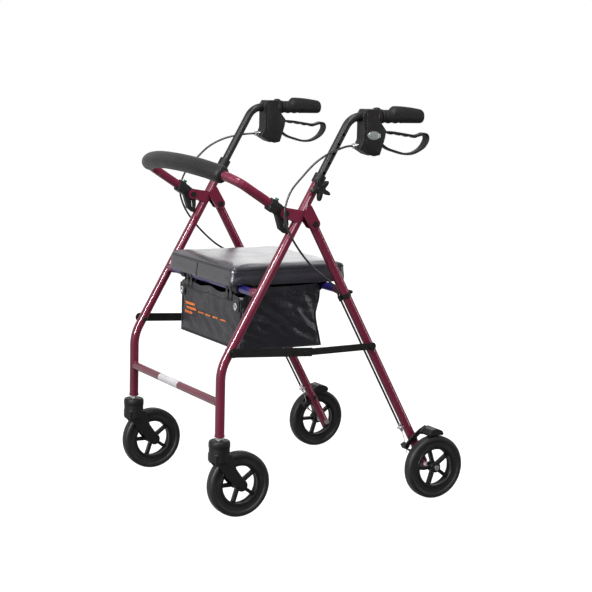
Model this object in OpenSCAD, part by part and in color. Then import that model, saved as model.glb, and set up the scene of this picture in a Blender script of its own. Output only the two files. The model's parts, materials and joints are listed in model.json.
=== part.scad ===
// Four-wheeled folding walker with a padded seat, a bag under it, a backrest and loop brakes.
// +X is the user's left, -Y the direction of travel and +Z up. The origin is on the floor under
// the middle of the whole object. Inside the modules Y counts from the castor stems instead.

/* [Frame] */
// Distance of each leg's plane from the middle
side_x = 245; // [240:1:250]
// Height of the front legs' bottom ends
leg_bottom_z = 190; // [186:1:194]
// Height where a front leg's two straight lines cross at its bend
leg_bend_z = 345; // [335:1:350]
// Lean of the front legs above the bend, in degrees
leg_tilt = 29.5; // [29:0.5:30]
// Length of the leaning part of a front leg
leg_len = 487; // [480:1:495]
// Outer diameter of the leg tubes
leg_d = 22; // [21.8:0.1:22.2]
// Inner diameter of the leg tubes
leg_bore = 19.6; // [19.6:0.1:19.8]
// Outer diameter of the cross tubes
cross_d = 19; // [18:0.5:19]
// Height of the crossbar between the front legs
crossbar_z = 267; // [255:1:280]

/* [Fold] */
// Distance of the fold pivot behind the castor stems
pivot_y = 226; // [225:1:227]
// Height of the fold pivot
pivot_z = 668; // [666:1:670]
// Distance of the rear axle behind the castor stems
axle_y = 552; // [548:1:556]
// Height of the brace bars' end pivots on the front legs
brace_z = 384; // [382:1:386]

/* [Wheels] */
// Wheel diameter
wheel_d = 152; // [152:0.5:152.5]
// Tyre width
tyre_w = 25; // [24:0.5:25]
// Distance of each rear wheel's middle from the middle of the object
rear_wheel_x = 288.5; // [288:0.5:290]
// Trail of the castors
castor_trail = 50; // [48:1:50]

/* [Seat] */
// Seat width
seat_w = 350; // [330:1:356]
// Seat front edge, behind the castor stems
seat_front_y = 57; // [54:1:60]
// Seat depth
seat_depth = 307; // [300:1:312]
// Height of the seat's top
seat_top_z = 564; // [558:1:568]
// Depth of the bag
bag_depth = 150; // [120:1:156]

/* [Handles] */
// Height of the hand grips' middle line
grip_z = 911; // [906:1:916]
// Distance of the hand grips' ends behind the castor stems
grip_end_y = 517; // [512:1:522]
// Outer diameter of the handle tubes
handle_d = 19; // [19:0.05:19.05]

/* [Backrest] */
// Rise of the backrest's arms, in degrees
arm_tilt = 32.5; // [31:0.5:34]
// Straight length of each arm, from its hinge
arm_len = 116; // [112:1:120]
// How far the backrest bows forward of its arms
bow = 72; // [66:1:78]
// Diameter of the foam pad
pad_d = 41; // [38:1:44]

/* [Hidden] */

$fn = 48;
PAINT = [0.40, 0.10, 0.18];
BLACK = [0.13, 0.12, 0.12];
RUBBER = [0.10, 0.09, 0.09];
SILVER = [0.75, 0.75, 0.76];
NAVY = [0.13, 0.11, 0.42];
VINYL = [0.22, 0.22, 0.24];
GREEN = [0.05, 0.45, 0.30];

fit_gap = 0.05;                 // radial clearance of a pin that turns in its bore
free_gap = 0.3;                 // gap between curved faces that only pass each other
wheel_r = wheel_d / 2;
pivot = [pivot_y, pivot_z];
axle = [axle_y, wheel_r];
rear_tilt = atan2(axle_y - pivot_y, pivot_z - wheel_r);
rear_len = norm(axle - pivot);
leg_bend_r = 100;
leg_tangent = leg_bend_r * tan(leg_tilt / 2);

// A point s along a front leg's leaning axis, and off to the rear of it, as [y, z]
function on_leg(s, off = 0) = [s * sin(leg_tilt) + off * cos(leg_tilt),
    leg_bend_z + s * cos(leg_tilt) - off * sin(leg_tilt)];
// A point s down a rear leg from the fold pivot, and off to the front of it
function on_rear(s, off = 0) = pivot
    + [s * sin(rear_tilt) - off * cos(rear_tilt), -s * cos(rear_tilt) - off * sin(rear_tilt)];
// A point u along a backrest arm from its hinge, and v above it
hinge = [150, 694];
function on_arm(u, v = 0) = hinge
    + [-u * cos(arm_tilt) + v * sin(arm_tilt), u * sin(arm_tilt) + v * cos(arm_tilt)];
function s_at(z) = (z - leg_bend_z) / cos(leg_tilt);

brace_front = on_leg(s_at(brace_z));
brace_rear = on_rear((pivot_z - 376) / cos(rear_tilt));
brace_mid = [209, 373];
tube_front = on_leg(190);       // the seat tube between the front legs
tube_rear = on_rear(182);       // the seat tube between the rear legs
front_y = hinge[0] - (arm_len + bow) * cos(arm_tilt) - pad_d / 2;
mid_y = (axle_y + wheel_r + front_y) / 2;

// Placing
module place() translate([0, -mid_y, 0]) children();
module at(x, p) translate([x, p[0], p[1]]) children();
module to_x() rotate([0, 90, 0]) children();
module lean(a) rotate([-a, 0, 0]) children();
module right_side() mirror([1, 0, 0]) children();
module both_sides() {
    children();
    right_side() children();
}
// A flat outline in Y and Z, from x0 to x1
module plate(x0, x1) translate([x0, 0, 0]) rotate([90, 0, 90]) linear_extrude(x1 - x0) children();
// A pin along X through p, from x0 to x1
module pin(p, r, x0, x1) at(x0, p) to_x() cylinder(r = r, h = x1 - x0);
// A straight bar of radius r between two points of the plane x
module bar(x, a, b, r) at(x, a) lean(atan2(b[0] - a[0], b[1] - a[1])) cylinder(r = r, h = norm(b - a));
// A tube's arc that starts upwards at the origin and turns towards +Y
module arc(bend_r, angle, r)
    translate([0, bend_r, 0]) rotate([90, 0, -90]) rotate_extrude(angle = angle, $fn = 96)
        translate([bend_r, 0]) circle(r = r);
module dot(p, r) translate(p) circle(r = r);
// A thin seam that joins two stretches of a bent tube at p
module seam(p, a, r) at(side_x, p) lean(a) translate([0, 0, -0.5]) cylinder(r = r + 0.05, h = 1);

// A smooth line through the points of a path, with k steps between two of them
function spline(a, b, c, d, t) = b + t * (c - a) / 2
    + t * t * (a - 2.5 * b + 2 * c - d / 2) + t * t * t * (1.5 * b - a / 2 - 1.5 * c + d / 2);
function clamp_i(i, n) = max(0, min(n - 1, i));
function smooth(p, k) = [for (i = [0 : len(p) - 2], j = [0 : k - 1])
    spline(p[clamp_i(i - 1, len(p))], p[i], p[i + 1], p[clamp_i(i + 2, len(p))], j / k),
    p[len(p) - 1]];
function unit(v) = v / norm(v);
function heading(p, i) = unit(p[clamp_i(i + 1, len(p))] - p[clamp_i(i - 1, len(p))]);
// A round tube swept along a path; side_dir is never along the path
module sweep(p, r, sides, side_dir) {
    ring = [for (i = [0 : len(p) - 1])
        let (t = heading(p, i), n = unit(cross(t, side_dir)), b = cross(t, n))
        for (k = [0 : sides - 1]) p[i] + r * (cos(360 * k / sides) * n + sin(360 * k / sides) * b)];
    skin = [for (i = [0 : len(p) - 2], k = [0 : sides - 1])
        let (q = i * sides, k1 = (k + 1) % sides) [q + k, q + sides + k, q + sides + k1, q + k1]];
    ends = [[for (k = [0 : sides - 1]) k],
        [for (k = [sides - 1 : -1 : 0]) (len(p) - 1) * sides + k]];
    polyhedron(ring, concat(skin, ends), convexity = 10);
}
// A point d before a on the line from a to b
function before(a, b, d) = a - d * unit(b - a);
// A flat strip of width w along a path in Y and Z
module strip(p, w) {
    edge = [for (i = [0 : len(p) - 1]) let (t = heading(p, i)) [-t[1], t[0]] * w / 2];
    polygon(concat([for (i = [0 : len(p) - 1]) p[i] + edge[i]],
        [for (i = [len(p) - 1 : -1 : 0]) p[i] - edge[i]]));
}

// ---- Front frame ----
collar_s = [476, 498];          // the collar's ends along the leg
knob_s = 463;
module leg_shape(r, extra) {
    at(side_x, [0, leg_bottom_z - extra])
        cylinder(r = r, h = leg_bend_z - leg_tangent - leg_bottom_z + extra);
    at(side_x, [0, leg_bend_z - leg_tangent]) arc(leg_bend_r, leg_tilt, r);
    at(side_x, on_leg(leg_tangent)) lean(leg_tilt) cylinder(r = r, h = leg_len - leg_tangent + extra);
    seam([0, leg_bend_z - leg_tangent], 0, r);
    seam(on_leg(leg_tangent), leg_tilt, r);
}
module front_leg() {
    difference() {
        union() {
            leg_shape(leg_d / 2, 0);
            at(side_x, [0, leg_bottom_z]) cylinder(d = leg_d + 1.6, h = 5);
        }
        difference() {
            leg_shape(leg_bore / 2, 2);
            pin(brace_front, 6, side_x - leg_d, side_x + leg_d);
            at(side_x, [0, leg_bottom_z]) cylinder(d = leg_d, h = 25);
        }
        pin(brace_front, 3, side_x - leg_d, side_x + leg_d);
        at(side_x, [0, leg_bottom_z - 5]) cylinder(r = 5, h = 40);
        pin(on_leg(knob_s), 3.3, side_x, side_x + leg_d);
    }
}
module left_front_leg() color(PAINT) place() front_leg();
module right_front_leg() color(PAINT) place() right_side() front_leg();

// A cross tube between the legs, coped round them by the children
module cross_tube(p, wall) {
    difference() {
        pin(p, cross_d / 2, -side_x, side_x);
        pin(p, cross_d / 2 - wall, -side_x - 1, side_x + 1);
        children();
    }
}
module lower_crossbar() color(PAINT) place() cross_tube([0, crossbar_z], 1.5)
    both_sides() at(side_x, [0, crossbar_z - 30]) cylinder(d = leg_d, h = 60);
module seat_front_tube() color(NAVY) place() cross_tube(tube_front, 1.5)
    both_sides() leg_shape(leg_d / 2, 0);

label_x = [-78, 28];            // the blank label's ends on the crossbar
module crossbar_label() color([0.8, 0.8, 0.8]) place() intersection() {
    difference() {
        pin([0, crossbar_z], cross_d / 2 + 0.3, label_x[0], label_x[1]);
        pin([0, crossbar_z], cross_d / 2, label_x[0] - 1, label_x[1] + 1);
    }
    translate([label_x[0], -20, crossbar_z - 6]) cube([label_x[1] - label_x[0], 20, 20]);
}

plate_in = leg_d / 2 + free_gap;    // inner face of the bracket plates, from the leg's plane
plate_t = 3;
module two_plates() {
    plate(side_x + plate_in, side_x + plate_in + plate_t) children();
    plate(side_x - plate_in - plate_t, side_x - plate_in) children();
}
module rear_leg_bracket() {
    difference() {
        union() {
            two_plates() {
                polygon([on_leg(394, 0), on_leg(424, -3), on_leg(424, 8), pivot + [12.4, 4],
                    pivot + [-8, -10]]);
                dot(pivot, 13);
            }
            // The web joins the plates along the back of the leg
            at(side_x - plate_in, on_leg(402, leg_d / 2)) lean(leg_tilt)
                cube([2 * plate_in, plate_t, 18]);
        }
        pin(pivot, 4, side_x - 30, side_x + 30);
        leg_shape(leg_d / 2, 0);
    }
}
module rear_leg_brackets() color(PAINT) place() both_sides() rear_leg_bracket();

module backrest_bracket() {
    difference() {
        union() {
            two_plates() {
                polygon([hinge + [3, 12.6], on_leg(405, -3), on_leg(374, -3), hinge + [6, -11.5]]);
                dot(hinge, 13);
            }
            at(side_x - plate_in, on_leg(384, -leg_d / 2 - 3)) lean(leg_tilt)
                cube([2 * plate_in, 3, 16]);
        }
        pin(hinge, 4, side_x - 30, side_x + 30);
        leg_shape(leg_d / 2, 0);
    }
}
module backrest_brackets() color(PAINT) place() both_sides() backrest_bracket();

module height_collar() {
    difference() {
        union() {
            at(side_x, on_leg(collar_s[0])) lean(leg_tilt) cylinder(r = 14, h = collar_s[1] - collar_s[0]);
            pin(on_leg(knob_s), 9, side_x, side_x + 19);
            at(side_x, on_leg(knob_s - 2, -7)) lean(leg_tilt) cube([17, 14, 30]);
        }
        leg_shape(leg_d / 2, 0);
        at(side_x, on_leg(leg_len - 20)) lean(leg_tilt) cylinder(r = handle_d / 2 + free_gap, h = 60);
        pin(on_leg(knob_s), 3.3, side_x, side_x + 30);
    }
}
module height_collars() color(BLACK) place() both_sides() height_collar();

stem_r = 5;
fork_top_z = 183;
fork_bottom_z = 133;
module castor_stem() {
    at(side_x, [0, 156]) cylinder(r = stem_r, h = leg_bottom_z + 25 - 156);
    difference() {
        at(side_x, [0, fork_top_z + free_gap]) cylinder(r = 9, h = 1.7);
        at(side_x, [0, fork_top_z - 1]) cylinder(r = stem_r, h = 20);
    }
    difference() {
        at(side_x, [0, fork_top_z + 2]) cylinder(r = 8, h = leg_bottom_z - fork_top_z - 2, $fn = 6);
        at(side_x, [0, fork_top_z - 1]) cylinder(r = stem_r, h = 20);
    }
}
module castor_stems() color(SILVER) place() both_sides() castor_stem();

bolt_head = plate_in + plate_t;
brace_x = side_x + 14;          // inner face of the inner brace bar
brace_t = 3;
brace_gap = 1;
// A bolt from x0 to x1 through p with a round head of radius head_r at its outer end
module bolt(p, r, x0, x1, head_r, head_t) {
    pin(p, r, x0, x1);
    difference() {
        pin(p, head_r, x1, x1 + head_t);
        pin(p, r * 0.55, x1 + head_t - 1.5, x1 + head_t + 1);
    }
}
module frame_bolt_set() {
    bolt(pivot, 4, side_x - bolt_head, side_x + bolt_head, 7, 3);
    pin(pivot, 6.5, side_x - bolt_head - 4, side_x - bolt_head);
    bolt(hinge, 4, side_x - bolt_head, side_x + bolt_head, 7, 3);
    pin(hinge, 6.5, side_x - bolt_head - 4, side_x - bolt_head);
    bolt(brace_front, 3, side_x - leg_d / 2, brace_x + 2 * brace_t + brace_gap + free_gap, 7.5, 3);
    pin(brace_front, 5, side_x - leg_d / 2 - 5, side_x - leg_d / 2);
    difference() {
        pin(brace_front, 7, side_x + leg_d / 2, brace_x + brace_t + brace_gap - free_gap);
        pin(brace_front, 3, side_x, side_x + 30);
    }
}
module frame_bolts() color(BLACK) place() both_sides() frame_bolt_set();

// ---- Bag, as an open shell ----
bag_top_z = 516;
bag_wall = 2.5;
module bag_block(inset, h) rounded_block(163 - inset, 88 + inset, 300 - inset, 12, h);
module bag() color(VINYL) place() difference() {
    translate([0, 0, bag_top_z - bag_depth]) bag_block(0, bag_depth);
    translate([0, 0, bag_top_z - bag_depth + bag_wall]) bag_block(bag_wall, bag_depth);
    // The front is cut lower, clear of the seat's tube and clamps
    translate([-200, 80, bag_top_z - 20]) cube([400, 34, 30]);
}

// ---- Brake cables ----
cable_r = 2.5;
cable_off = 16.5;               // the cable's distance in front of the rear leg's axis
clip_s = 193;
stop_s = 562;
// From the lever housing down past the backrest bracket to the rear leg's cable stop
cable_route = concat([[245, 326, 843.1], [246, 318, 843.4], [251, 304, 842], [262, 282, 838],
    [272, 248, 828], [278, 211, 808], [280, 176, 776], [280, 151, 748], [280, 138, 718],
    [279, 136, 690], [278, 146, 660], [275, 162, 633], [270, 189, 600], [261, 225, 566],
    [250, 264, 540]],
    [for (s = [clip_s - 30, clip_s - 15]) let (p = on_rear(s, cable_off)) [245, p[0], p[1]]],
    [for (s = [clip_s : 60 : stop_s - 30]) let (p = on_rear(s, cable_off)) [245, p[0], p[1]]],
    [let (p = on_rear(stop_s - 9, cable_off)) [245, p[0], p[1]]]);
module brake_cable() sweep(smooth(cable_route, 3), cable_r, 8, [1, 0.2, 0]);
module left_brake_cable() color(BLACK) place() brake_cable();
module right_brake_cable() color(BLACK) place() right_side() brake_cable();

// ---- Handles ----
handle_bend_r = 45;
handle_s = s_at(grip_z);        // where the handle's two straight lines cross
handle_tangent = handle_bend_r * tan((90 - leg_tilt) / 2);
handle_start_s = 285;
module handle_shape(r, extra) {
    at(side_x, on_leg(handle_start_s - extra)) lean(leg_tilt)
        cylinder(r = r, h = handle_s - handle_tangent - handle_start_s + extra);
    at(side_x, on_leg(handle_s - handle_tangent)) lean(leg_tilt) arc(handle_bend_r, 90 - leg_tilt, r);
    at(side_x, on_leg(handle_s) + [handle_tangent, 0]) lean(90)
        cylinder(r = r, h = grip_end_y - 6 - on_leg(handle_s)[0] - handle_tangent + extra);
    seam(on_leg(handle_s - handle_tangent), leg_tilt, r);
    seam(on_leg(handle_s) + [handle_tangent, 0], 90, r);
}
module handle_tube() {
    difference() {
        handle_shape(handle_d / 2, 0);
        handle_shape(handle_d / 2 - 1.5, 2);
        // Height holes, 25 mm apart
        for (i = [0 : 4]) pin(on_leg(knob_s + 40 + 25 * i), 3.3, side_x, side_x + 20);
    }
}
module left_handle_tube() color(BLACK) place() handle_tube();
module right_handle_tube() color(BLACK) place() right_side() handle_tube();

grip_len = grip_end_y - 399;
module hand_grip() {
    difference() {
        union() {
            at(side_x, [grip_end_y - grip_len, grip_z]) rotate([-90, 0, 0]) rotate_extrude()
                polygon([[0, 0], [15, 0], [15.5, 3], [13.5, 8], [14.5, 28], [15.5, 60], [16, 95],
                    [15.5, 112], [11, 118], [0, 118]]);
            // Palm rest
            hull() {
                at(side_x - 6, [436, grip_z + 12]) sphere(r = 8, $fn = 24);
                at(side_x + 6, [436, grip_z + 12]) sphere(r = 8, $fn = 24);
                at(side_x - 12, [478, grip_z + 12]) sphere(r = 9, $fn = 24);
                at(side_x + 12, [478, grip_z + 12]) sphere(r = 9, $fn = 24);
                at(side_x, [502, grip_z + 6]) sphere(r = 9, $fn = 24);
            }
        }
        at(side_x, [390, grip_z]) lean(90) cylinder(d = handle_d, h = grip_end_y - 6 - 390);
    }
}
module left_hand_grip() color(RUBBER) place() hand_grip();
module right_hand_grip() color(RUBBER) place() right_side() hand_grip();

lever_pivot = [380, 880];
housing_w = 17;
slot_w = 8.8;
module housing_outline() polygon([[352, 928], [384, 928], [391, 897], [406, 880], [404, 864],
    [400, 851], [391, 823], [376, 820], [358, 825], [336, 838], [346, 858], [346, 895], [342, 912]]);
module brake_housing() {
    difference() {
        union() {
            plate(side_x - housing_w, side_x + housing_w) housing_outline();
            at(side_x, [383, grip_z]) lean(90) cylinder(r = 20, h = 9);
        }
        at(side_x, [345, grip_z]) lean(90) cylinder(r = handle_d / 2, h = 60);
        // The mouth clears the handle tube's bend
        at(side_x, [325, grip_z - 2]) lean(90) cylinder(r = handle_d / 2 + 2.2, h = 23);
        // Room for the lever's root, open to the rear and below
        plate(side_x - slot_w, side_x + slot_w)
            polygon([[356, 897], [420, 897], [420, 810], [362, 810], [356, 832]]);
        pin(lever_pivot, 4 + fit_gap, side_x - 15.2, side_x + 15.2);
    }
    // Cable adjuster
    at(side_x, [327, 843]) lean(96) cylinder(r = 4, h = 16);
}
module left_brake_housing() color(BLACK) place() brake_housing();
module right_brake_housing() color(BLACK) place() right_side() brake_housing();

module lock_cam() {
    pin(lever_pivot, 4, side_x - 15, side_x + 15);
    plate(side_x - 8.4, side_x - 5.2) difference() {
        union() {
            dot(lever_pivot, 10);
            dot(lever_pivot + [-9, -4], 5);
        }
        dot(lever_pivot, 3);
    }
}
module left_lock_cam() color(SILVER) place() lock_cam();
module right_lock_cam() color(SILVER) place() right_side() lock_cam();

lever_loop = [[398, 874], [414, 875], [434, 874], [462, 870], [492, 866], [506, 868], [516, 871],
    [524, 867], [525, 855], [513, 838], [490, 826], [466, 824], [440, 830], [418, 837], [404, 846],
    [393, 857]];
module brake_lever() {
    difference() {
        union() {
            plate(side_x - 8, side_x + 8) strip(smooth(lever_loop, 3), 5);
            plate(side_x - 4.8, side_x + 8) {
                dot(lever_pivot, 10);
                polygon([[374, 872], [388, 886], [404, 871], [404, 848], [392, 850], [384, 838], [374, 840]]);
            }
        }
        pin(lever_pivot, 4 + fit_gap, side_x - 20, side_x + 20);
        plate(side_x - 8.8, side_x - 4.8) dot(lever_pivot, 15.5);
    }
}
module left_brake_lever() color(BLACK) place() brake_lever();
module right_brake_lever() color(BLACK) place() right_side() brake_lever();

knob_x = side_x + 20;
module height_knob() {
    difference() {
        union() {
            at(0, on_leg(knob_s)) plate(knob_x + 4, knob_x + 17) {
                dot([0, 0], 13);
                for (i = [0 : 4]) rotate(-100 + 72 * i) {
                    translate([0, -4.5]) square([20, 9]);
                    dot([20.5, 0], 6);
                }
            }
            pin(on_leg(knob_s), 8, knob_x, knob_x + 5);
        }
        pin(on_leg(knob_s), 4, knob_x + 15, knob_x + 20);
    }
    // The stud clamps the handle tube through the leg
    pin(on_leg(knob_s), 3, side_x + handle_d / 2 + 0.4, knob_x + 1);
}
module left_height_knob() color(BLACK) place() height_knob();
module right_height_knob() color(BLACK) place() right_side() height_knob();

// ---- Backrest ----
socket_end = 46;
tube_start = 16;
button_u = 31;
module backrest_socket() {
    difference() {
        union() {
            at(side_x, on_arm(14)) lean(arm_tilt - 90) cylinder(r = 14, h = socket_end - 14);
            at(side_x, on_arm(22)) lean(arm_tilt - 90)
                translate([-14, -14, 0]) cube([28, 14, socket_end - 26]);
            plate(side_x - 11, side_x + 11) {
                dot(hinge, 11);
                polygon([on_arm(0, 11), on_arm(30, 12), on_arm(30, -12), on_arm(0, -11)]);
            }
            // The lobe below the hinge rests on the leg and stops the backrest
            plate(side_x - 8, side_x + 8)
                polygon([on_arm(30, -10), [129, 690], [137, 665], [139, 658], [154, 647], [158, 650],
                    [161, 668], [160, 690]]);
            at(side_x, on_arm(button_u, 10)) lean(arm_tilt) cylinder(r = 6, h = 5.5);
        }
        pin(hinge, 4 + fit_gap, side_x - 20, side_x + 20);
        at(side_x, on_arm(tube_start - free_gap)) lean(arm_tilt - 90) cylinder(r = leg_d / 2 + fit_gap, h = 60);
        at(side_x, on_arm(button_u, 0)) lean(arm_tilt) cylinder(r = 4 + fit_gap, h = 30);
        // See-through slot in the lobe
        plate(side_x - 20, side_x + 20) polygon([[147, 679], [154, 677], [157, 660], [150, 659]]);
        leg_shape(leg_d / 2 + free_gap, 0);
    }
}
module backrest_sockets() color(BLACK) place() both_sides() backrest_socket();

module release_button() at(side_x, on_arm(button_u, 14)) lean(arm_tilt) {
    cylinder(r = 4, h = 4);
    translate([0, 0, 3.5]) cylinder(r = 4.8, h = 2.5);
}
module left_release_button() color(GREEN) place() release_button();
module right_release_button() color(GREEN) place() right_side() release_button();

// The backrest lies in one leaning plane: two straight arms and half an ellipse
function bow_point(a) = let (p = on_arm(arm_len + bow * cos(a))) [side_x * sin(a), p[0], p[1]];
function arm_point(u, side) = let (p = on_arm(u)) [side * side_x, p[0], p[1]];
backrest_path = concat([for (u = [tube_start, 70]) arm_point(u, -1)],
    [for (a = [-90 : 6 : 90]) bow_point(a)],
    [for (u = [70, tube_start]) arm_point(u, 1)]);
arm_normal = [0, sin(arm_tilt), cos(arm_tilt)];
module backrest_tube() color(PAINT) place() difference() {
    sweep(backrest_path, leg_d / 2, 24, arm_normal);
    sweep([for (i = [1 : len(backrest_path) - 2]) backrest_path[i]], leg_d / 2 - 1.5, 16, arm_normal);
}
pad_end = 56;
pad_path = [for (a = [-pad_end : 8 : pad_end]) bow_point(a)];
module backrest_pad() color(RUBBER) place() difference() {
    sweep(pad_path, pad_d / 2, 24, arm_normal);
    sweep([for (a = [-pad_end - 6 : 6 : pad_end + 7]) bow_point(a)], leg_d / 2 + 0.1, 24, arm_normal);
}

// ---- Rear frame ----
rear_end = rear_len + 14;
brake_pivot = on_rear(598);
module rear_leg() {
    difference() {
        at(side_x, on_rear(-13)) lean(180 - rear_tilt) cylinder(d = leg_d, h = rear_end + 13);
        difference() {
            at(side_x, on_rear(-14)) lean(180 - rear_tilt) cylinder(d = leg_bore, h = rear_end + 16);
            for (p = [pivot, brace_rear, brake_pivot, axle])
                pin(p, 7, side_x - leg_d, side_x + leg_d);
            at(side_x, on_rear(rear_end - 3)) lean(180 - rear_tilt) cylinder(d = leg_d, h = 3);
        }
        pin(pivot, 4 + fit_gap, side_x - 20, side_x + 20);
        pin(axle, 4, side_x - 20, side_x + 20);
        pin(brace_rear, 3, side_x - 20, side_x + 20);
        pin(brake_pivot, 3, side_x - 20, side_x + 20);
    }
}
module left_rear_leg() color(PAINT) place() rear_leg();
module right_rear_leg() color(PAINT) place() right_side() rear_leg();
module rear_seat_tube() color(NAVY) place() cross_tube(tube_rear, 1.5)
    both_sides() at(side_x, on_rear(80)) lean(180 - rear_tilt) cylinder(d = leg_d, h = 220);

module cable_clip() {
    difference() {
        union() {
            at(side_x, on_rear(clip_s - 6)) lean(180 - rear_tilt) cylinder(r = 12.2, h = 12);
            at(side_x, on_rear(clip_s - 6, cable_off)) lean(180 - rear_tilt) cylinder(r = 4.5, h = 12);
            pin(on_rear(clip_s, -14), 4, side_x - 6, side_x + 6);
        }
        at(side_x, on_rear(clip_s - 20)) lean(180 - rear_tilt) cylinder(d = leg_d, h = 40);
        at(side_x, on_rear(clip_s - 20, cable_off)) lean(180 - rear_tilt) cylinder(r = cable_r + 0.2, h = 40);
        pin(tube_rear, cross_d / 2 + free_gap, side_x - 30, side_x);
    }
}
module cable_clips() color(BLACK) place() both_sides() cable_clip();
module cable_stop() {
    difference() {
        union() {
            at(side_x - 7, on_rear(stop_s, cable_off + 6)) rotate([rear_tilt, 0, 0]) cube([14, 14, 3]);
            at(side_x, on_rear(stop_s - 9, cable_off)) lean(180 - rear_tilt) cylinder(r = 3.5, h = 18);
        }
        at(side_x, on_rear(stop_s - 20)) lean(180 - rear_tilt) cylinder(d = leg_d, h = 40);
    }
}
module cable_stops() color(SILVER) place() both_sides() cable_stop();

arm_x = side_x + leg_d / 2 + 0.6;   // inner face of the brake arm
arm_t = 4;
module rear_bolt_set() {
    bolt(brace_rear, 3, side_x - leg_d / 2, brace_x + brace_t + free_gap, 7.5, 3);
    pin(brace_rear, 5, side_x - leg_d / 2 - 5, side_x - leg_d / 2);
    difference() {
        pin(brace_rear, 6, side_x + leg_d / 2, brace_x - free_gap);
        pin(brace_rear, 3, side_x, side_x + 30);
    }
    bolt(brake_pivot, 3, side_x - leg_d / 2, arm_x + arm_t + free_gap, 5.5, 2);
    pin(brake_pivot, 5, side_x - leg_d / 2 - 3, side_x - leg_d / 2);
}
module rear_frame_bolts() color(BLACK) place() both_sides() rear_bolt_set();

hub_half = 13;
module rear_axle() {
    pin(axle, 4, side_x - leg_d / 2, rear_wheel_x + hub_half + free_gap);
    pin(axle, 6.5, rear_wheel_x + hub_half + free_gap, rear_wheel_x + hub_half + 4);
    at(side_x - leg_d / 2 - 6, axle) to_x() cylinder(r = 7, h = 6, $fn = 6);
    difference() {
        pin(axle, 7, side_x + leg_d / 2, rear_wheel_x - hub_half - free_gap);
        pin(axle, 4, side_x, rear_wheel_x);
    }
}
module rear_axles() color(SILVER) place() both_sides() rear_axle();

module brake_spring() {
    bar(side_x + 8, on_rear(620, 24), on_rear(655, 9), 1.5);
    pin(on_rear(620, 24), 2.5, side_x + 2, side_x + 11);
}
module brake_springs() color(BLACK) place() both_sides() brake_spring();

// ---- Brace bars ----
module front_brace_bar() {
    difference() {
        union() {
            plate(brace_x + brace_t + brace_gap, brace_x + 2 * brace_t + brace_gap)
                strip([before(brace_front, brace_mid, 4), brace_mid + [14, 0.8]], 20);
            pin(brace_front, 11, brace_x + brace_t + brace_gap, brace_x + 2 * brace_t + brace_gap);
        }
        pin(brace_front, 3 + fit_gap, 0, brace_x + 40);
        pin(brace_mid, 3, 0, brace_x + 40);
    }
}
module rear_brace_bar() {
    difference() {
        union() {
            plate(brace_x, brace_x + brace_t)
                strip([brace_mid - [12, 0], before(brace_rear, brace_mid, 4)], 16);
            pin(brace_rear, 9, brace_x, brace_x + brace_t);
        }
        pin(brace_rear, 3 + fit_gap, 0, brace_x + 40);
    }
}
module brace_rivet() {
    pin(brace_mid, 3, brace_x + brace_t + brace_gap, brace_x + 2 * brace_t + brace_gap);
    pin(brace_mid, 6, brace_x + 2 * brace_t + brace_gap, brace_x + 2 * brace_t + brace_gap + 2);
}
module left_front_brace() color(BLACK) place() front_brace_bar();
module right_front_brace() color(BLACK) place() right_side() front_brace_bar();
module left_rear_brace() color(BLACK) place() rear_brace_bar();
module right_rear_brace() color(BLACK) place() right_side() rear_brace_bar();
module brace_rivets() color(BLACK) place() both_sides() brace_rivet();

// ---- Rear brake arm with its shoe ----
module brake_arm() {
    difference() {
        union() {
            plate(arm_x, arm_x + arm_t) {
                strip([on_rear(604, 27), brake_pivot + [-3, 0], brake_pivot + [16, 14], [547, 167]], 13);
                dot(brake_pivot, 9);
            }
            plate(side_x - 6, arm_x + arm_t) strip([on_rear(600, 27), on_rear(612, 27)], 12);
            plate(arm_x, rear_wheel_x + 12) polygon([[530, 157], [537, 168], [553, 171], [567, 165],
                [571, 158], [566, 150], [534, 150]]);
        }
        pin(brake_pivot, 3 + fit_gap, side_x, side_x + 40);
        pin(axle, wheel_r + 3, side_x + 14, rear_wheel_x + 30);
    }
}
module left_brake_arm() color(BLACK) place() brake_arm();
module right_brake_arm() color(BLACK) place() right_side() brake_arm();

// ---- Wheels, each drawn about its own axle at the origin ----
rim_r = 51;
module tyre_shape() to_x() rotate_extrude($fn = 96) difference() {
    hull_r = wheel_r - 8;
    union() {
        translate([rim_r, -tyre_w / 2 + 3]) square([wheel_r - rim_r, tyre_w - 6 - 5]);
        translate([rim_r, -tyre_w / 2 + 3]) square([hull_r - rim_r, tyre_w - 6]);
        translate([hull_r, -tyre_w / 2 + 8]) square([8, tyre_w - 16]);
        for (y = [-tyre_w / 2 + 8, tyre_w / 2 - 8]) dot([hull_r, y], 8);
    }
    translate([0, -tyre_w]) square([rim_r, 2 * tyre_w]);
    translate([wheel_r, -tyre_w]) square([10, 2 * tyre_w]);
}
module rim_shape() {
    difference() {
        union() {
            to_x() rotate_extrude($fn = 96)
                polygon([[44, -9], [rim_r, -11], [rim_r, 11], [44, 9], [46, 0]]);
            translate([-hub_half, 0, 0]) to_x() cylinder(r = 12, h = 2 * hub_half);
            for (i = [0 : 4]) rotate([72 * i + 18, 0, 0]) {
                translate([-5, -4, 8]) cube([10, 8, 38.5]);
                translate([-8, -2, 8]) cube([16, 4, 38]);
            }
        }
        translate([-20, 0, 0]) to_x() cylinder(r = 4 + fit_gap, h = 40);
    }
}
castor_axle_at = [castor_trail, wheel_r];
module left_rear_rim() color(BLACK) place() at(rear_wheel_x, axle) rim_shape();
module right_rear_rim() color(BLACK) place() at(-rear_wheel_x, axle) rim_shape();
module left_rear_tyre() color(RUBBER) place() at(rear_wheel_x, axle) tyre_shape();
module right_rear_tyre() color(RUBBER) place() at(-rear_wheel_x, axle) tyre_shape();
module left_front_rim() color(BLACK) place() at(side_x, castor_axle_at) rim_shape();
module right_front_rim() color(BLACK) place() at(-side_x, castor_axle_at) rim_shape();
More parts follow.
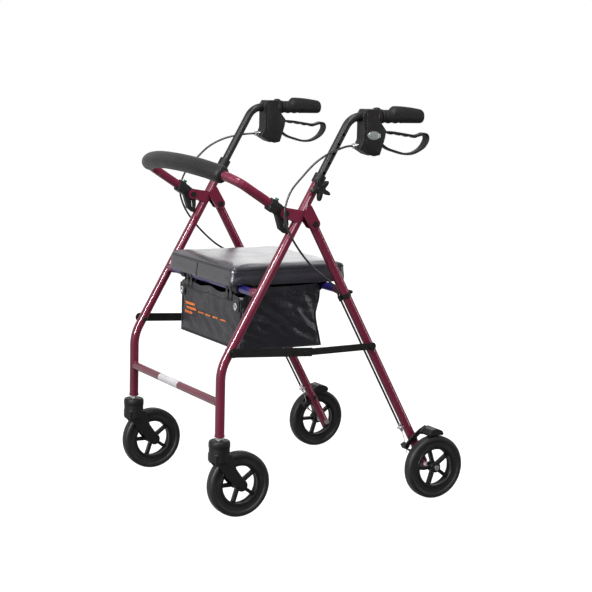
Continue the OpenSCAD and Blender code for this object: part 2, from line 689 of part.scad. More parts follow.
module left_front_tyre() color(RUBBER) place() at(side_x, castor_axle_at) tyre_shape();
module right_front_tyre() color(RUBBER) place() at(-side_x, castor_axle_at) tyre_shape();

// ---- Castor forks ----
module castor_fork() {
    difference() {
        union() {
            at(side_x, [0, fork_bottom_z]) cylinder(r = 24, h = fork_top_z - 3 - fork_bottom_z);
            at(side_x, [0, fork_top_z - 3]) cylinder(r1 = 24, r2 = 22, h = 3);
            for (x = [side_x - 21, side_x + 14]) plate(x, x + 7) {
                polygon([[-19, 152], [-19, 134], [-6, 120], [castor_trail - 11, 66], [castor_trail + 13, 78],
                    [34, 118], [24, 152]]);
                dot(castor_axle_at, 14);
            }
        }
        pin(castor_axle_at, wheel_r + 2.5, side_x - 14, side_x + 14);
        pin(castor_axle_at, 4, side_x - 40, side_x + 40);
        at(side_x, [0, fork_bottom_z - 10]) cylinder(r = stem_r + fit_gap, h = 80);
    }
}
module left_castor_fork() color(BLACK) place() castor_fork();
module right_castor_fork() color(BLACK) place() right_side() castor_fork();
module castor_axle() {
    pin(castor_axle_at, 4, side_x - 21, side_x + 21);
    pin(castor_axle_at, 7, side_x + 21, side_x + 24);
    pin(castor_axle_at, 7, side_x - 24, side_x - 21);
}
module left_castor_axle() color(BLACK) place() castor_axle();
module right_castor_axle() color(BLACK) place() right_side() castor_axle();

// ---- Seat ----
seat_bottom_z = tube_front[1] + cross_d / 2 + 0.8;
module rounded_block(x1, y0, y1, r, h) linear_extrude(h) {
    translate([-x1, y0 + r]) square([2 * x1, y1 - y0 - 2 * r]);
    translate([-x1 + r, y0]) square([2 * (x1 - r), y1 - y0]);
    for (x = [-x1 + r, x1 - r], y = [y0 + r, y1 - r]) dot([x, y], r);
}
seat_rear_y = seat_front_y + seat_depth;
module seat_base() color(BLACK) place() translate([0, 0, seat_bottom_z])
    rounded_block(seat_w / 2 - 7, seat_front_y + 7, seat_rear_y - 7, 10, 10);
module seat_cushion() color(VINYL) place() difference() {
    translate([0, 0, seat_bottom_z])
        rounded_block(seat_w / 2, seat_front_y, seat_rear_y, 14, seat_top_z - seat_bottom_z);
    translate([0, 0, seat_bottom_z - 1])
        rounded_block(seat_w / 2 - 7, seat_front_y + 7, seat_rear_y - 7, 10, 11);
}
clamp_x = 142;
module seat_clamp() {
    difference() {
        union() {
            pin(tube_front, 13, clamp_x - 12, clamp_x + 12);
            translate([clamp_x - 12, tube_front[0], seat_bottom_z - 6]) cube([24, 32, 6]);
        }
        pin(tube_front, cross_d / 2 + fit_gap, clamp_x - 20, clamp_x + 20);
        translate([clamp_x - 20, 0, seat_bottom_z]) cube([40, 200, 40]);
    }
}
module seat_clamps() color(BLACK) place() both_sides() seat_clamp();

left_front_leg();
right_front_leg();
lower_crossbar();
crossbar_label();
seat_front_tube();
rear_leg_brackets();
backrest_brackets();
height_collars();
castor_stems();
frame_bolts();
bag();
left_brake_cable();
right_brake_cable();
left_handle_tube();
right_handle_tube();
left_hand_grip();
right_hand_grip();
left_brake_housing();
right_brake_housing();
left_lock_cam();
right_lock_cam();
left_brake_lever();
right_brake_lever();
left_height_knob();
right_height_knob();
backrest_sockets();
left_release_button();
right_release_button();
backrest_tube();
backrest_pad();
left_rear_leg();
right_rear_leg();
rear_seat_tube();
cable_clips();
cable_stops();
rear_frame_bolts();
rear_axles();
brake_springs();
left_front_brace();
right_front_brace();
brace_rivets();
left_rear_brace();
right_rear_brace();
left_brake_arm();
right_brake_arm();
left_rear_rim();
right_rear_rim();
left_rear_tyre();
right_rear_tyre();
left_castor_fork();
right_castor_fork();
left_castor_axle();
right_castor_axle();
left_front_rim();
right_front_rim();
left_front_tyre();
right_front_tyre();
seat_base();
seat_clamps();
seat_cushion();
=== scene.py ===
"""A four-wheeled folding walker with a padded seat, a bag, a backrest and loop brakes.

Metres. +X is the user's left, -Y the direction of travel and +Z up. Sizes given in millimetres go
through pt() or MM, with y counted from the castor stems. The right side mirrors the left.
"""

import json
import math

import bmesh
import bpy
from mathutils import Matrix, Vector, noise
from mathutils.bvhtree import BVHTree

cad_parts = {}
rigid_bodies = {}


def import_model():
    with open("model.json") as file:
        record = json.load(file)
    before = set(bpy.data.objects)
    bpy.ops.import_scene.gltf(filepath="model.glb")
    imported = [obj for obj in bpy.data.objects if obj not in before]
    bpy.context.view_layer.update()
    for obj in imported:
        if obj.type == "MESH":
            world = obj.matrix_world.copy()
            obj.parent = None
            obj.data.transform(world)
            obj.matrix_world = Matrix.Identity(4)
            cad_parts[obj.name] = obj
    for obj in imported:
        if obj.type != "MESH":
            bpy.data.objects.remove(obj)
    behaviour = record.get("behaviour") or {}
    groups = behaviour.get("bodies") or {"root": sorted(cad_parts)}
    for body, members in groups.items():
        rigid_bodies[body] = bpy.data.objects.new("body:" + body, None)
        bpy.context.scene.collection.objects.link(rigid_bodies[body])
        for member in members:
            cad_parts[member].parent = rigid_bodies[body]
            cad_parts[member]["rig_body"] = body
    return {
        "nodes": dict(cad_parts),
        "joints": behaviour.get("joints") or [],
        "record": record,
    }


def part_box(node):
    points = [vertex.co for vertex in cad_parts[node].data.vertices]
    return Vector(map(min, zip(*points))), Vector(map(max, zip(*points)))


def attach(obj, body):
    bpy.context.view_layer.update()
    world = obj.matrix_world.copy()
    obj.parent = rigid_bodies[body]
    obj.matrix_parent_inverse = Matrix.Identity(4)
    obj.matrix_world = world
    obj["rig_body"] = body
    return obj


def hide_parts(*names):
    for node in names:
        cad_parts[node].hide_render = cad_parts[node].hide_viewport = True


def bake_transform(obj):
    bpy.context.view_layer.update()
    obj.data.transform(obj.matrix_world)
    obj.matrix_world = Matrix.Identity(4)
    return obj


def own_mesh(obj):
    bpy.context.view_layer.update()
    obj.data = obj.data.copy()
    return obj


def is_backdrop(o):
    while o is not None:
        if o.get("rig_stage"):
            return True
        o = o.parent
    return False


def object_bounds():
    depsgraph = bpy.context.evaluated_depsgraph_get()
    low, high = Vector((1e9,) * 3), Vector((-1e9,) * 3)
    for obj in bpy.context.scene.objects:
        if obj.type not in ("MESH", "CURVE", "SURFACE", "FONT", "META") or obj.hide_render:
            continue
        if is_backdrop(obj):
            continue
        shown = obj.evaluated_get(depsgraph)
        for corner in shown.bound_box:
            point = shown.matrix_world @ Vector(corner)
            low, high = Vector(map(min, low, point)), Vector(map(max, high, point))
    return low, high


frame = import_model()
cad_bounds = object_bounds()
scene = bpy.context.scene
joints = {joint["name"]: joint for joint in frame["joints"]}

MM = 0.001
SIDES = (("left", 1), ("right", -1))
X_AXIS = Vector((1, 0, 0))
Y_AXIS = Vector((0, 1, 0))
Z_AXIS = Vector((0, 0, 1))


# ---- Places taken from the frame ----
def joint_at(name):
    return Vector(joints[name]["pos_m"])


STEM = joint_at("left_castor_swivel")
SIDE_X = STEM.x
LEG_X = SIDE_X / MM
PIVOT = joint_at("frame_fold")
HINGE = joint_at("backrest_fold")
AXLE = joint_at("left_rear_wheel_spin")
KNOB = joint_at("left_knob_turn")
LEG_DIR = Vector(joints["left_handle_height"]["axis"]).normalized()
ARM_DIR = Vector(joints["backrest_pull"]["axis"]).normalized()
ARM_UP = Vector((0, ARM_DIR.z, -ARM_DIR.y))
REAR_DIR = Vector((0, AXLE.y - PIVOT.y, AXLE.z - PIVOT.z)).normalized()
REAR_FRONT = Vector((0, REAR_DIR.z, -REAR_DIR.y))
LEG_R = 11 * MM
CROSS_R = 9.5 * MM


def tube_middle(node):
    """A cross tube's middle line as (y, z) in millimetres, with y counted from the castor stems."""
    low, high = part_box(node)
    return ((low.y + high.y) / 2 - STEM.y) / MM, (low.z + high.z) / 2 / MM


FRONT_TUBE = tube_middle("seat_front_tube")
REAR_TUBE = tube_middle("rear_seat_tube")


def pt(x, y, z):
    """A point from millimetres, with y counted from the castor stems."""
    return Vector((x * MM, STEM.y + y * MM, z * MM))


def on_rear(s, off=0.0):
    """A point s millimetres down the left rear leg, and off to the front of it."""
    return Vector((SIDE_X, PIVOT.y, PIVOT.z)) + REAR_DIR * s * MM + REAR_FRONT * off * MM


def on_arm(u, v=0.0, x=SIDE_X):
    """A point u metres along a backrest arm from its hinge, and v above it."""
    return Vector((x, HINGE.y, HINGE.z)) + ARM_DIR * u + ARM_UP * v


def clamp(value):
    return min(max(value, 0), 1)


def ease(value):
    """From 0 to 1 with a soft start and end."""
    t = clamp(value)
    return t * t * (3 - 2 * t)


# ---- Finishes ----
class Finish:
    """One material: a Principled shader with colour, roughness and bump from textures."""

    def __init__(
        self, name, roughness, metallic=0.0, coat=0.0, coat_roughness=0.1, sheen=0.0, specular=0.5
    ):
        self.material = bpy.data.materials.new(name)
        self.material.use_nodes = True
        self.tree = self.material.node_tree
        self.shader = self.tree.nodes["Principled BSDF"]
        constants = {
            "Roughness": roughness,
            "Metallic": metallic,
            "Coat Weight": coat,
            "Coat Roughness": coat_roughness,
            "Sheen Weight": sheen,
            "Specular IOR Level": specular,
        }
        for socket, value in constants.items():
            self.shader.inputs[socket].default_value = value
        self.place = self.add("ShaderNodeTexCoord").outputs["Object"]
        self.normal = None

    def add(self, kind, settings=None, **inputs):
        node = self.tree.nodes.new(kind)
        for key, value in (settings or {}).items():
            setattr(node, key, value)
        for key, value in inputs.items():
            self.plug(node.inputs[key.replace("_", " ")], value)
        return node

    def plug(self, socket, value):
        if isinstance(value, bpy.types.NodeSocket):
            self.tree.links.new(value, socket)
        else:
            socket.default_value = value

    def stretched(self, scale, turn=(0, 0, 0)):
        """The place in the row frame, scaled along each axis after a turn in degrees."""
        angles = [math.radians(a) for a in turn]
        return self.add("ShaderNodeMapping", Vector=self.place, Rotation=angles, Scale=scale).outputs[0]

    def noise(self, scale, detail=3.0, rough=0.5, place=None, distortion=0.0):
        node = self.add(
            "ShaderNodeTexNoise",
            Vector=place or self.place,
            Scale=scale,
            Detail=detail,
            Roughness=rough,
            Distortion=distortion,
        )
        return node.outputs[0]

    def cells(self, scale, feature="F1", place=None):
        place = place or self.place
        node = self.add("ShaderNodeTexVoronoi", {"feature": feature}, Vector=place, Scale=scale)
        return node.outputs["Distance"]

    def waves(self, scale, direction, distortion=0.0, place=None):
        settings = {"wave_type": "BANDS", "bands_direction": direction}
        node = self.add(
            "ShaderNodeTexWave", settings, Vector=place or self.place, Scale=scale, Distortion=distortion
        )
        return node.outputs["Fac"]

    def math(self, operation, a, b=0.5):
        node = self.add("ShaderNodeMath", {"operation": operation})
        self.plug(node.inputs[0], a)
        self.plug(node.inputs[1], b)
        return node.outputs[0]

    def ramp(self, factor, *stops):
        """Colours or greys at places from 0 to 1."""
        node = self.add("ShaderNodeValToRGB", Fac=factor)
        elements = node.color_ramp.elements
        while len(elements) < len(stops):
            elements.new(0.5)
        for element, (position, colour) in zip(elements, stops):
            element.position = position
            element.color = (*colour, 1) if hasattr(colour, "__len__") else (colour, colour, colour, 1)
        return node.outputs[0]

    def clouds(self, scale, detail, low, high, top=0.8, **more):
        """A drift between two colours or two greys."""
        return self.ramp(self.noise(scale, detail, **more), (0.3, low), (top, high))

    def mix(self, factor, a, b):
        node = self.add("ShaderNodeMix", {"data_type": "RGBA"})
        for index, value in ((0, factor), (6, a), (7, b)):
            value = (*value, 1) if isinstance(value, tuple) else value
            self.plug(node.inputs[index], value)
        return node.outputs[2]

    def tint(self, base, other, mask, amount):
        """The base, turned towards the other colour by amount where the mask is 1."""
        return self.mix(self.math("MULTIPLY", mask, amount), base, other)

    def edges(self, radius):
        """1 along sharp edges and 0 on the flats, within radius."""
        soft = self.add("ShaderNodeBevel", {"samples": 4}, Radius=radius).outputs[0]
        flat = self.add("ShaderNodeNewGeometry").outputs["Normal"]
        dot = self.add("ShaderNodeVectorMath", {"operation": "DOT_PRODUCT"})
        self.plug(dot.inputs[0], soft)
        self.plug(dot.inputs[1], flat)
        return self.ramp(dot.outputs["Value"], (0.80, 1.0), (0.985, 0.0))

    def rounded(self, radius):
        """Sharp edges catch the light as if they had that radius."""
        self.normal = self.add("ShaderNodeBevel", {"samples": 4}, Radius=radius).outputs[0]
        return self

    def bump(self, height, distance, strength=1.0):
        node = self.add("ShaderNodeBump", Height=height, Distance=distance, Strength=strength)
        if self.normal is not None:
            self.plug(node.inputs["Normal"], self.normal)
        self.normal = node.outputs[0]
        return self

    def colour(self, value):
        self.plug(self.shader.inputs["Base Color"], value)
        return self

    def rough(self, value):
        self.plug(self.shader.inputs["Roughness"], value)
        return self

    def done(self):
        if self.normal is not None:
            self.plug(self.shader.inputs["Normal"], self.normal)
        return self.material


def gloss_paint(name, dark, light, flake):
    """Metallic gloss powder coat with flakes, slight orange peel and thin spots along edges."""
    f = Finish(name, 0.5, metallic=0.12, coat=0.8, coat_roughness=0.015, specular=0.1)
    body = f.clouds(14, 4, dark, light, 0.75)
    sparkle = f.ramp(f.cells(1900), (0.02, 1.0), (0.16, 0.0))
    body = f.tint(body, flake, sparkle, 0.22)
    f.colour(f.tint(body, light, f.edges(0.8 * MM), 0.35))
    f.rough(f.clouds(40, 3, 0.44, 0.56))
    f.rounded(0.6 * MM)
    f.bump(f.noise(300, 2), 0.004 * MM)
    return f.done()


def satin_paint(name, dark, light):
    """Satin powder coat with a fine pebble, rubbed brighter along edges."""
    f = Finish(name, 0.4, coat=0.08, coat_roughness=0.25, specular=0.25)
    body = f.clouds(30, 4, dark, light)
    f.colour(f.tint(body, (0.08, 0.075, 0.075), f.edges(0.7 * MM), 0.25))
    f.rough(f.clouds(60, 3, 0.34, 0.46))
    f.rounded(0.5 * MM)
    f.bump(f.noise(900, 2), 0.012 * MM)
    return f.done()


def moulded_plastic(name, dark, light, roughness=0.5, grain=0.06):
    """Moulded plastic with spark-eroded grain, faint flow clouds and polished edges."""
    f = Finish(name, roughness, specular=0.22)
    body = f.clouds(22, 4, dark, light, distortion=0.6)
    f.colour(f.tint(body, tuple(4 * c for c in light), f.edges(0.8 * MM), 0.4))
    f.rough(f.clouds(45, 3, roughness - 0.06, roughness + 0.08))
    f.rounded(0.7 * MM)
    f.bump(f.cells(1300), grain * MM)
    return f.done()


def zinc(name, tone=0.62, roughness=0.3):
    """Bright zinc plating with fine turning lines and cloudy patches."""
    f = Finish(name, roughness, metallic=1.0)
    f.colour(f.clouds(120, 4, (tone * 0.8, tone * 0.8, tone * 0.82), (tone,) * 3))
    f.rough(f.clouds(200, 3, roughness - 0.08, roughness + 0.12))
    f.rounded(0.3 * MM)
    f.bump(f.noise(600, 2, place=f.stretched((6, 1, 1))), 0.03 * MM)
    return f.done()


def tyre_rubber():
    """Solid tyre: brown-black, dusty scuffs in patches and a fine pebble."""
    f = Finish("solid_tyre", 0.7, specular=0.25)
    dust = f.ramp(f.noise(26, 6, 0.65), (0.45, 0.0), (0.75, 1.0))
    body = f.clouds(60, 3, (0.009, 0.0085, 0.0085), (0.014, 0.013, 0.013))
    f.colour(f.tint(body, (0.05, 0.045, 0.042), dust, 0.2))
    f.rough(f.ramp(dust, (0.0, 0.48), (1.0, 0.72)))
    f.bump(f.noise(700, 3), 0.10 * MM)
    f.bump(f.noise(70, 3), 0.16 * MM)
    return f.done()


def grip_rubber():
    """Soft black rubber with a fine diamond texture."""
    f = Finish("grip_rubber", 0.6, specular=0.22)
    across = f.waves(520, "DIAGONAL")
    back = f.waves(520, "DIAGONAL", place=f.stretched((1, -1, 1)))
    f.colour(f.clouds(40, 4, (0.005, 0.0045, 0.0045), (0.009, 0.008, 0.008)))
    f.rough(f.clouds(55, 3, 0.5, 0.66))
    f.bump(f.math("MULTIPLY", across, back), 0.10 * MM)
    return f.done()


def foam():
    """Closed-cell foam sleeve: fine skin pores and soft dents."""
    f = Finish("foam_sleeve", 0.5, sheen=0.03, specular=0.2)
    pores = f.ramp(f.cells(1500), (0.05, 0.0), (0.35, 1.0))
    body = f.clouds(35, 4, (0.004, 0.0037, 0.0037), (0.007, 0.0065, 0.0065))
    f.colour(f.tint(body, (0.020, 0.019, 0.019), pores, 0.25))
    f.rough(f.clouds(30, 4, 0.44, 0.56))
    f.bump(pores, 0.07 * MM)
    f.bump(f.noise(110, 3), 0.22 * MM)
    return f.done()


def vinyl():
    """Satin black upholstery vinyl with leather grain and fine stretch creases."""
    f = Finish("seat_vinyl", 0.38, coat=0.45, coat_roughness=0.25, specular=0.5)
    f.shader.inputs["Specular Tint"].default_value = (0.88, 0.88, 1.0, 1)
    grain = f.cells(720, "DISTANCE_TO_EDGE", place=f.stretched((1, 1.25, 1)))
    valley = f.ramp(grain, (0.0, 0.0), (0.10, 1.0))
    body = f.clouds(12, 4, (0.013, 0.012, 0.017), (0.021, 0.020, 0.027))
    f.colour(f.mix(valley, (0.009, 0.008, 0.011), body))
    f.rough(f.clouds(18, 5, 0.32, 0.42))
    f.bump(valley, 0.04 * MM)
    f.bump(f.noise(40, 3), 0.15 * MM)
    return f.done()


def coated_cloth(name, dark, light, roughness=0.5):
    """Coated nylon: a fine plain weave under a slightly shiny coat, with faint creases."""
    f = Finish(name, roughness, specular=0.45)
    f.shader.inputs["Specular Tint"].default_value = (0.90, 0.91, 1.0, 1)
    warp = f.waves(560, "Z")
    weft = f.waves(560, "DIAGONAL", place=f.stretched((1, 1, 0.0)))
    weave = f.math("MAXIMUM", warp, weft)
    body = f.clouds(9, 5, dark, light)
    f.colour(f.tint(body, tuple(1.5 * c for c in light), weave, 0.25))
    f.rough(f.clouds(24, 5, roughness - 0.1, roughness + 0.08, rough=0.6))
    f.bump(weave, 0.05 * MM)
    f.bump(f.noise(22, 5, 0.55, distortion=1.2), 2.2 * MM, 0.8)
    return f.done()


def webbing():
    """Black woven strap with ribs along it."""
    f = Finish("webbing", 0.65, sheen=0.2, specular=0.35)
    ribs = f.waves(330, "X")
    picks = f.waves(420, "Z")
    weave = f.math("MULTIPLY", ribs, picks)
    f.colour(f.ramp(weave, (0.0, (0.010, 0.010, 0.011)), (1.0, (0.032, 0.031, 0.033))))
    f.bump(weave, 0.18 * MM)
    return f.done()


def printed(name, colour, edge):
    """Ink on cloth: the weave shows through, and the colour shifts a little."""
    f = Finish(name, 0.55)
    weave = f.math("MULTIPLY", f.waves(560, "X"), f.waves(560, "Z"))
    f.colour(f.clouds(30, 4, edge, colour, 0.75))
    f.bump(weave, 0.05 * MM)
    return f.done()


def plain_label():
    """A blank foil label, a little scuffed."""
    f = Finish("blank_label", 0.35, coat=0.4)
    scuff = f.ramp(f.noise(160, 5, 0.7), (0.52, 0.0), (0.7, 1.0))
    body = f.clouds(50, 3, (0.55, 0.53, 0.55), (0.68, 0.67, 0.68))
    f.colour(f.tint(body, (0.40, 0.36, 0.38), scuff, 0.3))
    f.bump(f.noise(300, 3), 0.04 * MM)
    return f.done()


def cable_jacket():
    """Smooth black cable casing with faint ribs of the coil inside."""
    f = Finish("cable_jacket", 0.35, specular=0.5)
    f.colour(f.clouds(50, 3, (0.010, 0.010, 0.010), (0.020, 0.019, 0.019)))
    f.rough(f.clouds(60, 3, 0.28, 0.42))
    f.bump(f.waves(300, "Z"), 0.05 * MM)
    return f.done()


def badge_face():
    """Brushed silver badge without any lettering."""
    f = Finish("badge_face", 0.32, metallic=0.85)
    lines = f.noise(40, 3, place=f.stretched((1, 4, 60)))
    f.colour(f.ramp(lines, (0.3, (0.40, 0.46, 0.43)), (0.8, (0.56, 0.63, 0.59))))
    f.bump(lines, 0.04 * MM)
    return f.done()


paint = gloss_paint("burgundy_paint", (0.115, 0.005, 0.024), (0.142, 0.009, 0.034), (0.30, 0.06, 0.11))
navy_paint = gloss_paint("navy_paint", (0.012, 0.008, 0.10), (0.022, 0.016, 0.16), (0.12, 0.10, 0.40))
black_paint = satin_paint("black_paint", (0.006, 0.0057, 0.0055), (0.010, 0.0095, 0.009))
black_plastic = moulded_plastic("black_plastic", (0.005, 0.0042, 0.0045), (0.009, 0.0075, 0.008))
rim_plastic = moulded_plastic("rim_plastic", (0.004, 0.0038, 0.0038), (0.008, 0.0072, 0.0072), 0.42)
green_plastic = moulded_plastic("green_plastic", (0.006, 0.11, 0.055), (0.012, 0.18, 0.09), 0.35)
steel = zinc("zinc_steel")
wire_steel = zinc("wire_steel", 0.55, 0.36)
tyre = tyre_rubber()
grip_finish = grip_rubber()
foam_finish = foam()
seat_finish = vinyl()
bag_cloth = coated_cloth("bag_cloth", (0.007, 0.007, 0.009), (0.013, 0.013, 0.016), 0.33)
piping_finish = coated_cloth("piping", (0.005, 0.005, 0.006), (0.009, 0.009, 0.010), 0.42)
strap_finish = webbing()
thread = satin_paint("thread", (0.018, 0.018, 0.019), (0.040, 0.039, 0.042))
orange_print = printed("orange_print", (0.90, 0.24, 0.015), (0.80, 0.15, 0.010))
label_finish = plain_label()
jacket = cable_jacket()
badge_finish = badge_face()

SLOT_FINISH = {
    "paint": paint,
    "navy_paint": navy_paint,
    "black_paint": black_paint,
    "black_plastic": black_plastic,
    "steel": steel,
    "soft_tyre": tyre,
    "grip_rubber": grip_finish,
    "foam": foam_finish,
    "vinyl": seat_finish,
    "nylon": bag_cloth,
    "label": label_finish,
    "green_plastic": green_plastic,
}
for subpart in frame["record"]["subparts"]:
    for material_slot in frame["nodes"][subpart["node"]].material_slots:
        material_slot.material = SLOT_FINISH[subpart["material_slot"]]
for node_name, node_object in frame["nodes"].items():
    if node_name.endswith("_rim"):
        node_object.material_slots[0].material = rim_plastic


# ---- Mesh building ----
def make(name, shape, finish, body, side=1, sharp=40):
    """A piece from (vertices, faces), mirrored for side -1, riding on a body."""
    verts, faces = shape
    mesh = bpy.data.meshes.new(name)
    mesh.from_pydata([(v[0] * side, v[1], v[2]) for v in verts], [], faces)
    bm = bmesh.new()
    bm.from_mesh(mesh)
    bmesh.ops.remove_doubles(bm, verts=bm.verts, dist=1e-6)
    bmesh.ops.recalc_face_normals(bm, faces=bm.faces)
    bm.to_mesh(mesh)
    bm.free()
    mesh.shade_smooth()
    mesh.set_sharp_from_angle(angle=math.radians(sharp))
    mesh.materials.append(finish)
    piece = bpy.data.objects.new(name, mesh)
    scene.collection.objects.link(piece)
    if body:
        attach(piece, body)
    return piece


def both(name, shape, finish, body, replaced=None):
    """A piece on the left, and its mirror image on the right."""
    for side_name, side in SIDES:
        here = [text.replace("left", side_name) for text in (name, body, replaced or "")]
        piece = make(here[0], shape, finish, here[1], side)
        if replaced:
            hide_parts(here[2])


def merged(*shapes):
    """Several (vertices, faces) shapes as one."""
    verts, faces = [], []
    for shape_verts, shape_faces in shapes:
        start = len(verts)
        verts += list(shape_verts)
        faces += [tuple(start + i for i in face) for face in shape_faces]
    return verts, faces


def loft(rings, loop=False, caps=True):
    """Quads between rings of the same length."""
    n = len(rings[0])
    verts = [v for ring in rings for v in ring]
    faces = []
    for i in range(len(rings) if loop else len(rings) - 1):
        a, b = i * n, (i + 1) % len(rings) * n
        faces += [(a + k, a + (k + 1) % n, b + (k + 1) % n, b + k) for k in range(n)]
    if caps and not loop:
        faces += [tuple(range(n)), tuple(range(len(verts) - n, len(verts)))]
    return verts, faces


def grid(rows):
    """Quads between open rows of the same length."""
    n = len(rows[0])
    faces = [
        (i * n + k, i * n + k + 1, (i + 1) * n + k + 1, (i + 1) * n + k)
        for i in range(len(rows) - 1)
        for k in range(n - 1)
    ]
    return [v for row in rows for v in row], faces


def axes_along(path, up, loop):
    """The point and two cross directions at each point of a path; the first stays near up."""
    n = len(path)
    for i, p in enumerate(path):
        before = path[(i - 1) % n] if loop else path[max(i - 1, 0)]
        after = path[(i + 1) % n] if loop else path[min(i + 1, n - 1)]
        t = (after - before).normalized()
        a = (up - up.dot(t) * t).normalized()
        yield p, a, t.cross(a)


def sweep(path, section, up=X_AXIS, loop=False, caps=True):
    """section(t) gives the cross section's (u, v) points at t from 0 to 1 along the path."""
    last = len(path) - 1
    rings = [
        [p + u * a + v * b for u, v in section(i / last)]
        for i, (p, a, b) in enumerate(axes_along(path, up, loop))
    ]
    return loft(rings, loop, caps)


def circle(r, sides=12):
    turns = [2 * math.pi * k / sides for k in range(sides)]
    return [(r * math.cos(q), r * math.sin(q)) for q in turns]


def cushion_oval(w, h, power, sides):
    """A rectangle of w by h with soft corners; a higher power is squarer."""
    def bent(value):
        return math.copysign(abs(value) ** (2 / power), value)

    return [(bent(c) * w / 2, bent(s) * h / 2) for c, s in circle(1, sides)]


def tube(path, r, sides=12, up=X_AXIS, loop=False):
    return sweep(path, lambda t: circle(r, sides), up, loop)


def smooth(points, steps, loop=False):
    """A smooth line through the points."""
    n = len(points)
    out = []
    for i in range(n if loop else n - 1):
        a, b, c, d = (
            points[(i + j) % n if loop else min(max(i + j, 0), n - 1)] for j in (-1, 0, 1, 2)
        )
        for k in range(steps):
            t = k / steps
            out.append(
                b
                + t * (c - a) / 2
                + t * t * (a - 2.5 * b + 2 * c - d / 2)
                + t * t * t * (1.5 * b - a / 2 - 1.5 * c + d / 2)
            )
    if not loop:
        out.append(points[-1])
    return out


def lathe(profile, centre, axis, steps=32):
    """Turns (radius, height) points, in millimetres, about an axis through centre.

    A profile that doesn't start on the axis is closed on itself, as a ring.
    """
    axis = axis.normalized()
    a = axis.orthogonal().normalized()
    b = axis.cross(a)
    rings = []
    for r, h in profile:
        base = centre + axis * h * MM
        rings.append([base + (a * u + b * v) * r * MM for u, v in circle(1, steps)])
    return loft(rings, loop=profile[0][0] > 0)


def plate(outline, x0, x1, round_over=1.2, corner=4):
    """A flat outline of (y, z) millimetres from x0 to x1, with rounded corners and edges."""
    loop = rounded_outline([Vector((0, y, z)) for y, z in outline], corner)
    bends = [(depth * round_over, inset * round_over) for depth, inset in ((0, 1), (0.3, 0.3), (1, 0))]
    sections = [(x0 + depth, inset) for depth, inset in bends]
    sections += [(x1 - depth, inset) for depth, inset in bends[::-1]]
    rings = []
    for x, inset in sections:
        ring = []
        for i, p in enumerate(loop):
            t = (loop[(i + 1) % len(loop)] - loop[i - 1]).normalized()
            q = p + Vector((0, -t.z, t.y)) * inset
            ring.append(pt(x, q.y, q.z))
        rings.append(ring)
    return loft(rings)


def rounded_outline(points, r, steps=4):
    """The closed outline with each corner replaced by an arc, listed anticlockwise."""
    area = sum(a.y * b.z - b.y * a.z for a, b in zip(points, points[1:] + points[:1]))
    if area < 0:
        points = points[::-1]
    out = []
    for i, p in enumerate(points):
        a = points[i - 1] - p
        b = points[(i + 1) % len(points)] - p
        reach = min(r, a.length * 0.45, b.length * 0.45)
        start, end = p + a.normalized() * reach, p + b.normalized() * reach
        for k in range(steps + 1):
            t = k / steps
            out.append((1 - t) ** 2 * start + 2 * t * (1 - t) * p + t * t * end)
    return out


def stitches(path, up, length=2.6, gap=1.4, r=0.35):
    """Short thread stitches along a path, in millimetres."""
    shapes = []
    along = 0.0
    step = (length + gap) * MM
    for a, b in zip(path, path[1:]):
        span = (b - a).length
        direction = (b - a).normalized()
        while along < span:
            start = a + direction * along
            end = start + direction * length * MM
            middle = (start + end) / 2 + up * r * 0.8 * MM
            shapes.append(tube([start, middle, end], r * MM, 5, up=up.orthogonal()))
            along += step
        along -= span
    return merged(*shapes)


def moulded(node, voxel, passes, finish):
    """Stands for a CAD node: the same solid with its edges rounded over as a moulding's are."""
    source = frame["nodes"][node]
    piece = bpy.data.objects.new(node + "_moulding", source.data.copy())
    scene.collection.objects.link(piece)
    bm = bmesh.new()
    bm.from_mesh(piece.data)
    bmesh.ops.remove_doubles(bm, verts=bm.verts, dist=1e-6)
    bm.to_mesh(piece.data)
    bm.free()
    remesh = piece.modifiers.new("remesh", "REMESH")
    remesh.mode = "VOXEL"
    remesh.voxel_size = voxel * MM
    soften = piece.modifiers.new("soften", "SMOOTH")
    soften.factor = 0.5
    soften.iterations = passes
    apply_modifiers(piece)
    piece.data.shade_smooth()
    piece.data.materials.clear()
    piece.data.materials.append(finish)
    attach(piece, source["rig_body"])
    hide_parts(node)
    return piece


def apply_modifiers(piece):
    depsgraph = bpy.context.evaluated_depsgraph_get()
    mesh = bpy.data.meshes.new_from_object(piece.evaluated_get(depsgraph))
    piece.modifiers.clear()
    piece.data = mesh


# ---- Mouldings ----
MOULDINGS = (
    ("brake_housing", 1.1, 5),
    ("castor_fork", 1.1, 5),
    ("brake_arm", 1.0, 3),
)
for side_name, _ in SIDES:
    for part, voxel, passes in MOULDINGS:
        moulded(f"{side_name}_{part}", voxel, passes, black_plastic)
moulded("backrest_sockets", 1.1, 5, black_plastic)
moulded("height_collars", 1.0, 5, black_plastic)


# ---- Handles, housings and levers ----
GRIP_START = 399
GRIP_LEN = 113
GRIP_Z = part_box("left_hand_grip")[0].z / MM + 16


def grip_ring(t):
    """The grip's section in X and Z at t along it: shallow scallops in front and a palm leaf on top."""
    leaf = ease((t - 0.20) / 0.10) * (1 - max(0.0, (t - 0.36) / 0.64) ** 1.6)
    scallop = 0.9 * math.cos(2 * math.pi * (t * 6 - 0.1)) if 0.08 < t < 0.5 else 0.0
    body = 15.2 + 0.8 * t
    ring = []
    for c, s in circle(1, 40):
        r = body + max(-s, 0) ** 1.5 * scallop
        x, z = r * c, r * s
        if s > 0.22:
            x *= 1 + 0.10 * leaf
            z += 8.5 * leaf * ((s - 0.22) / 0.78) ** 0.5 * (1 - 0.12 * max(0.0, t - 0.9) / 0.1)
        ring.append((x, z))
    return ring


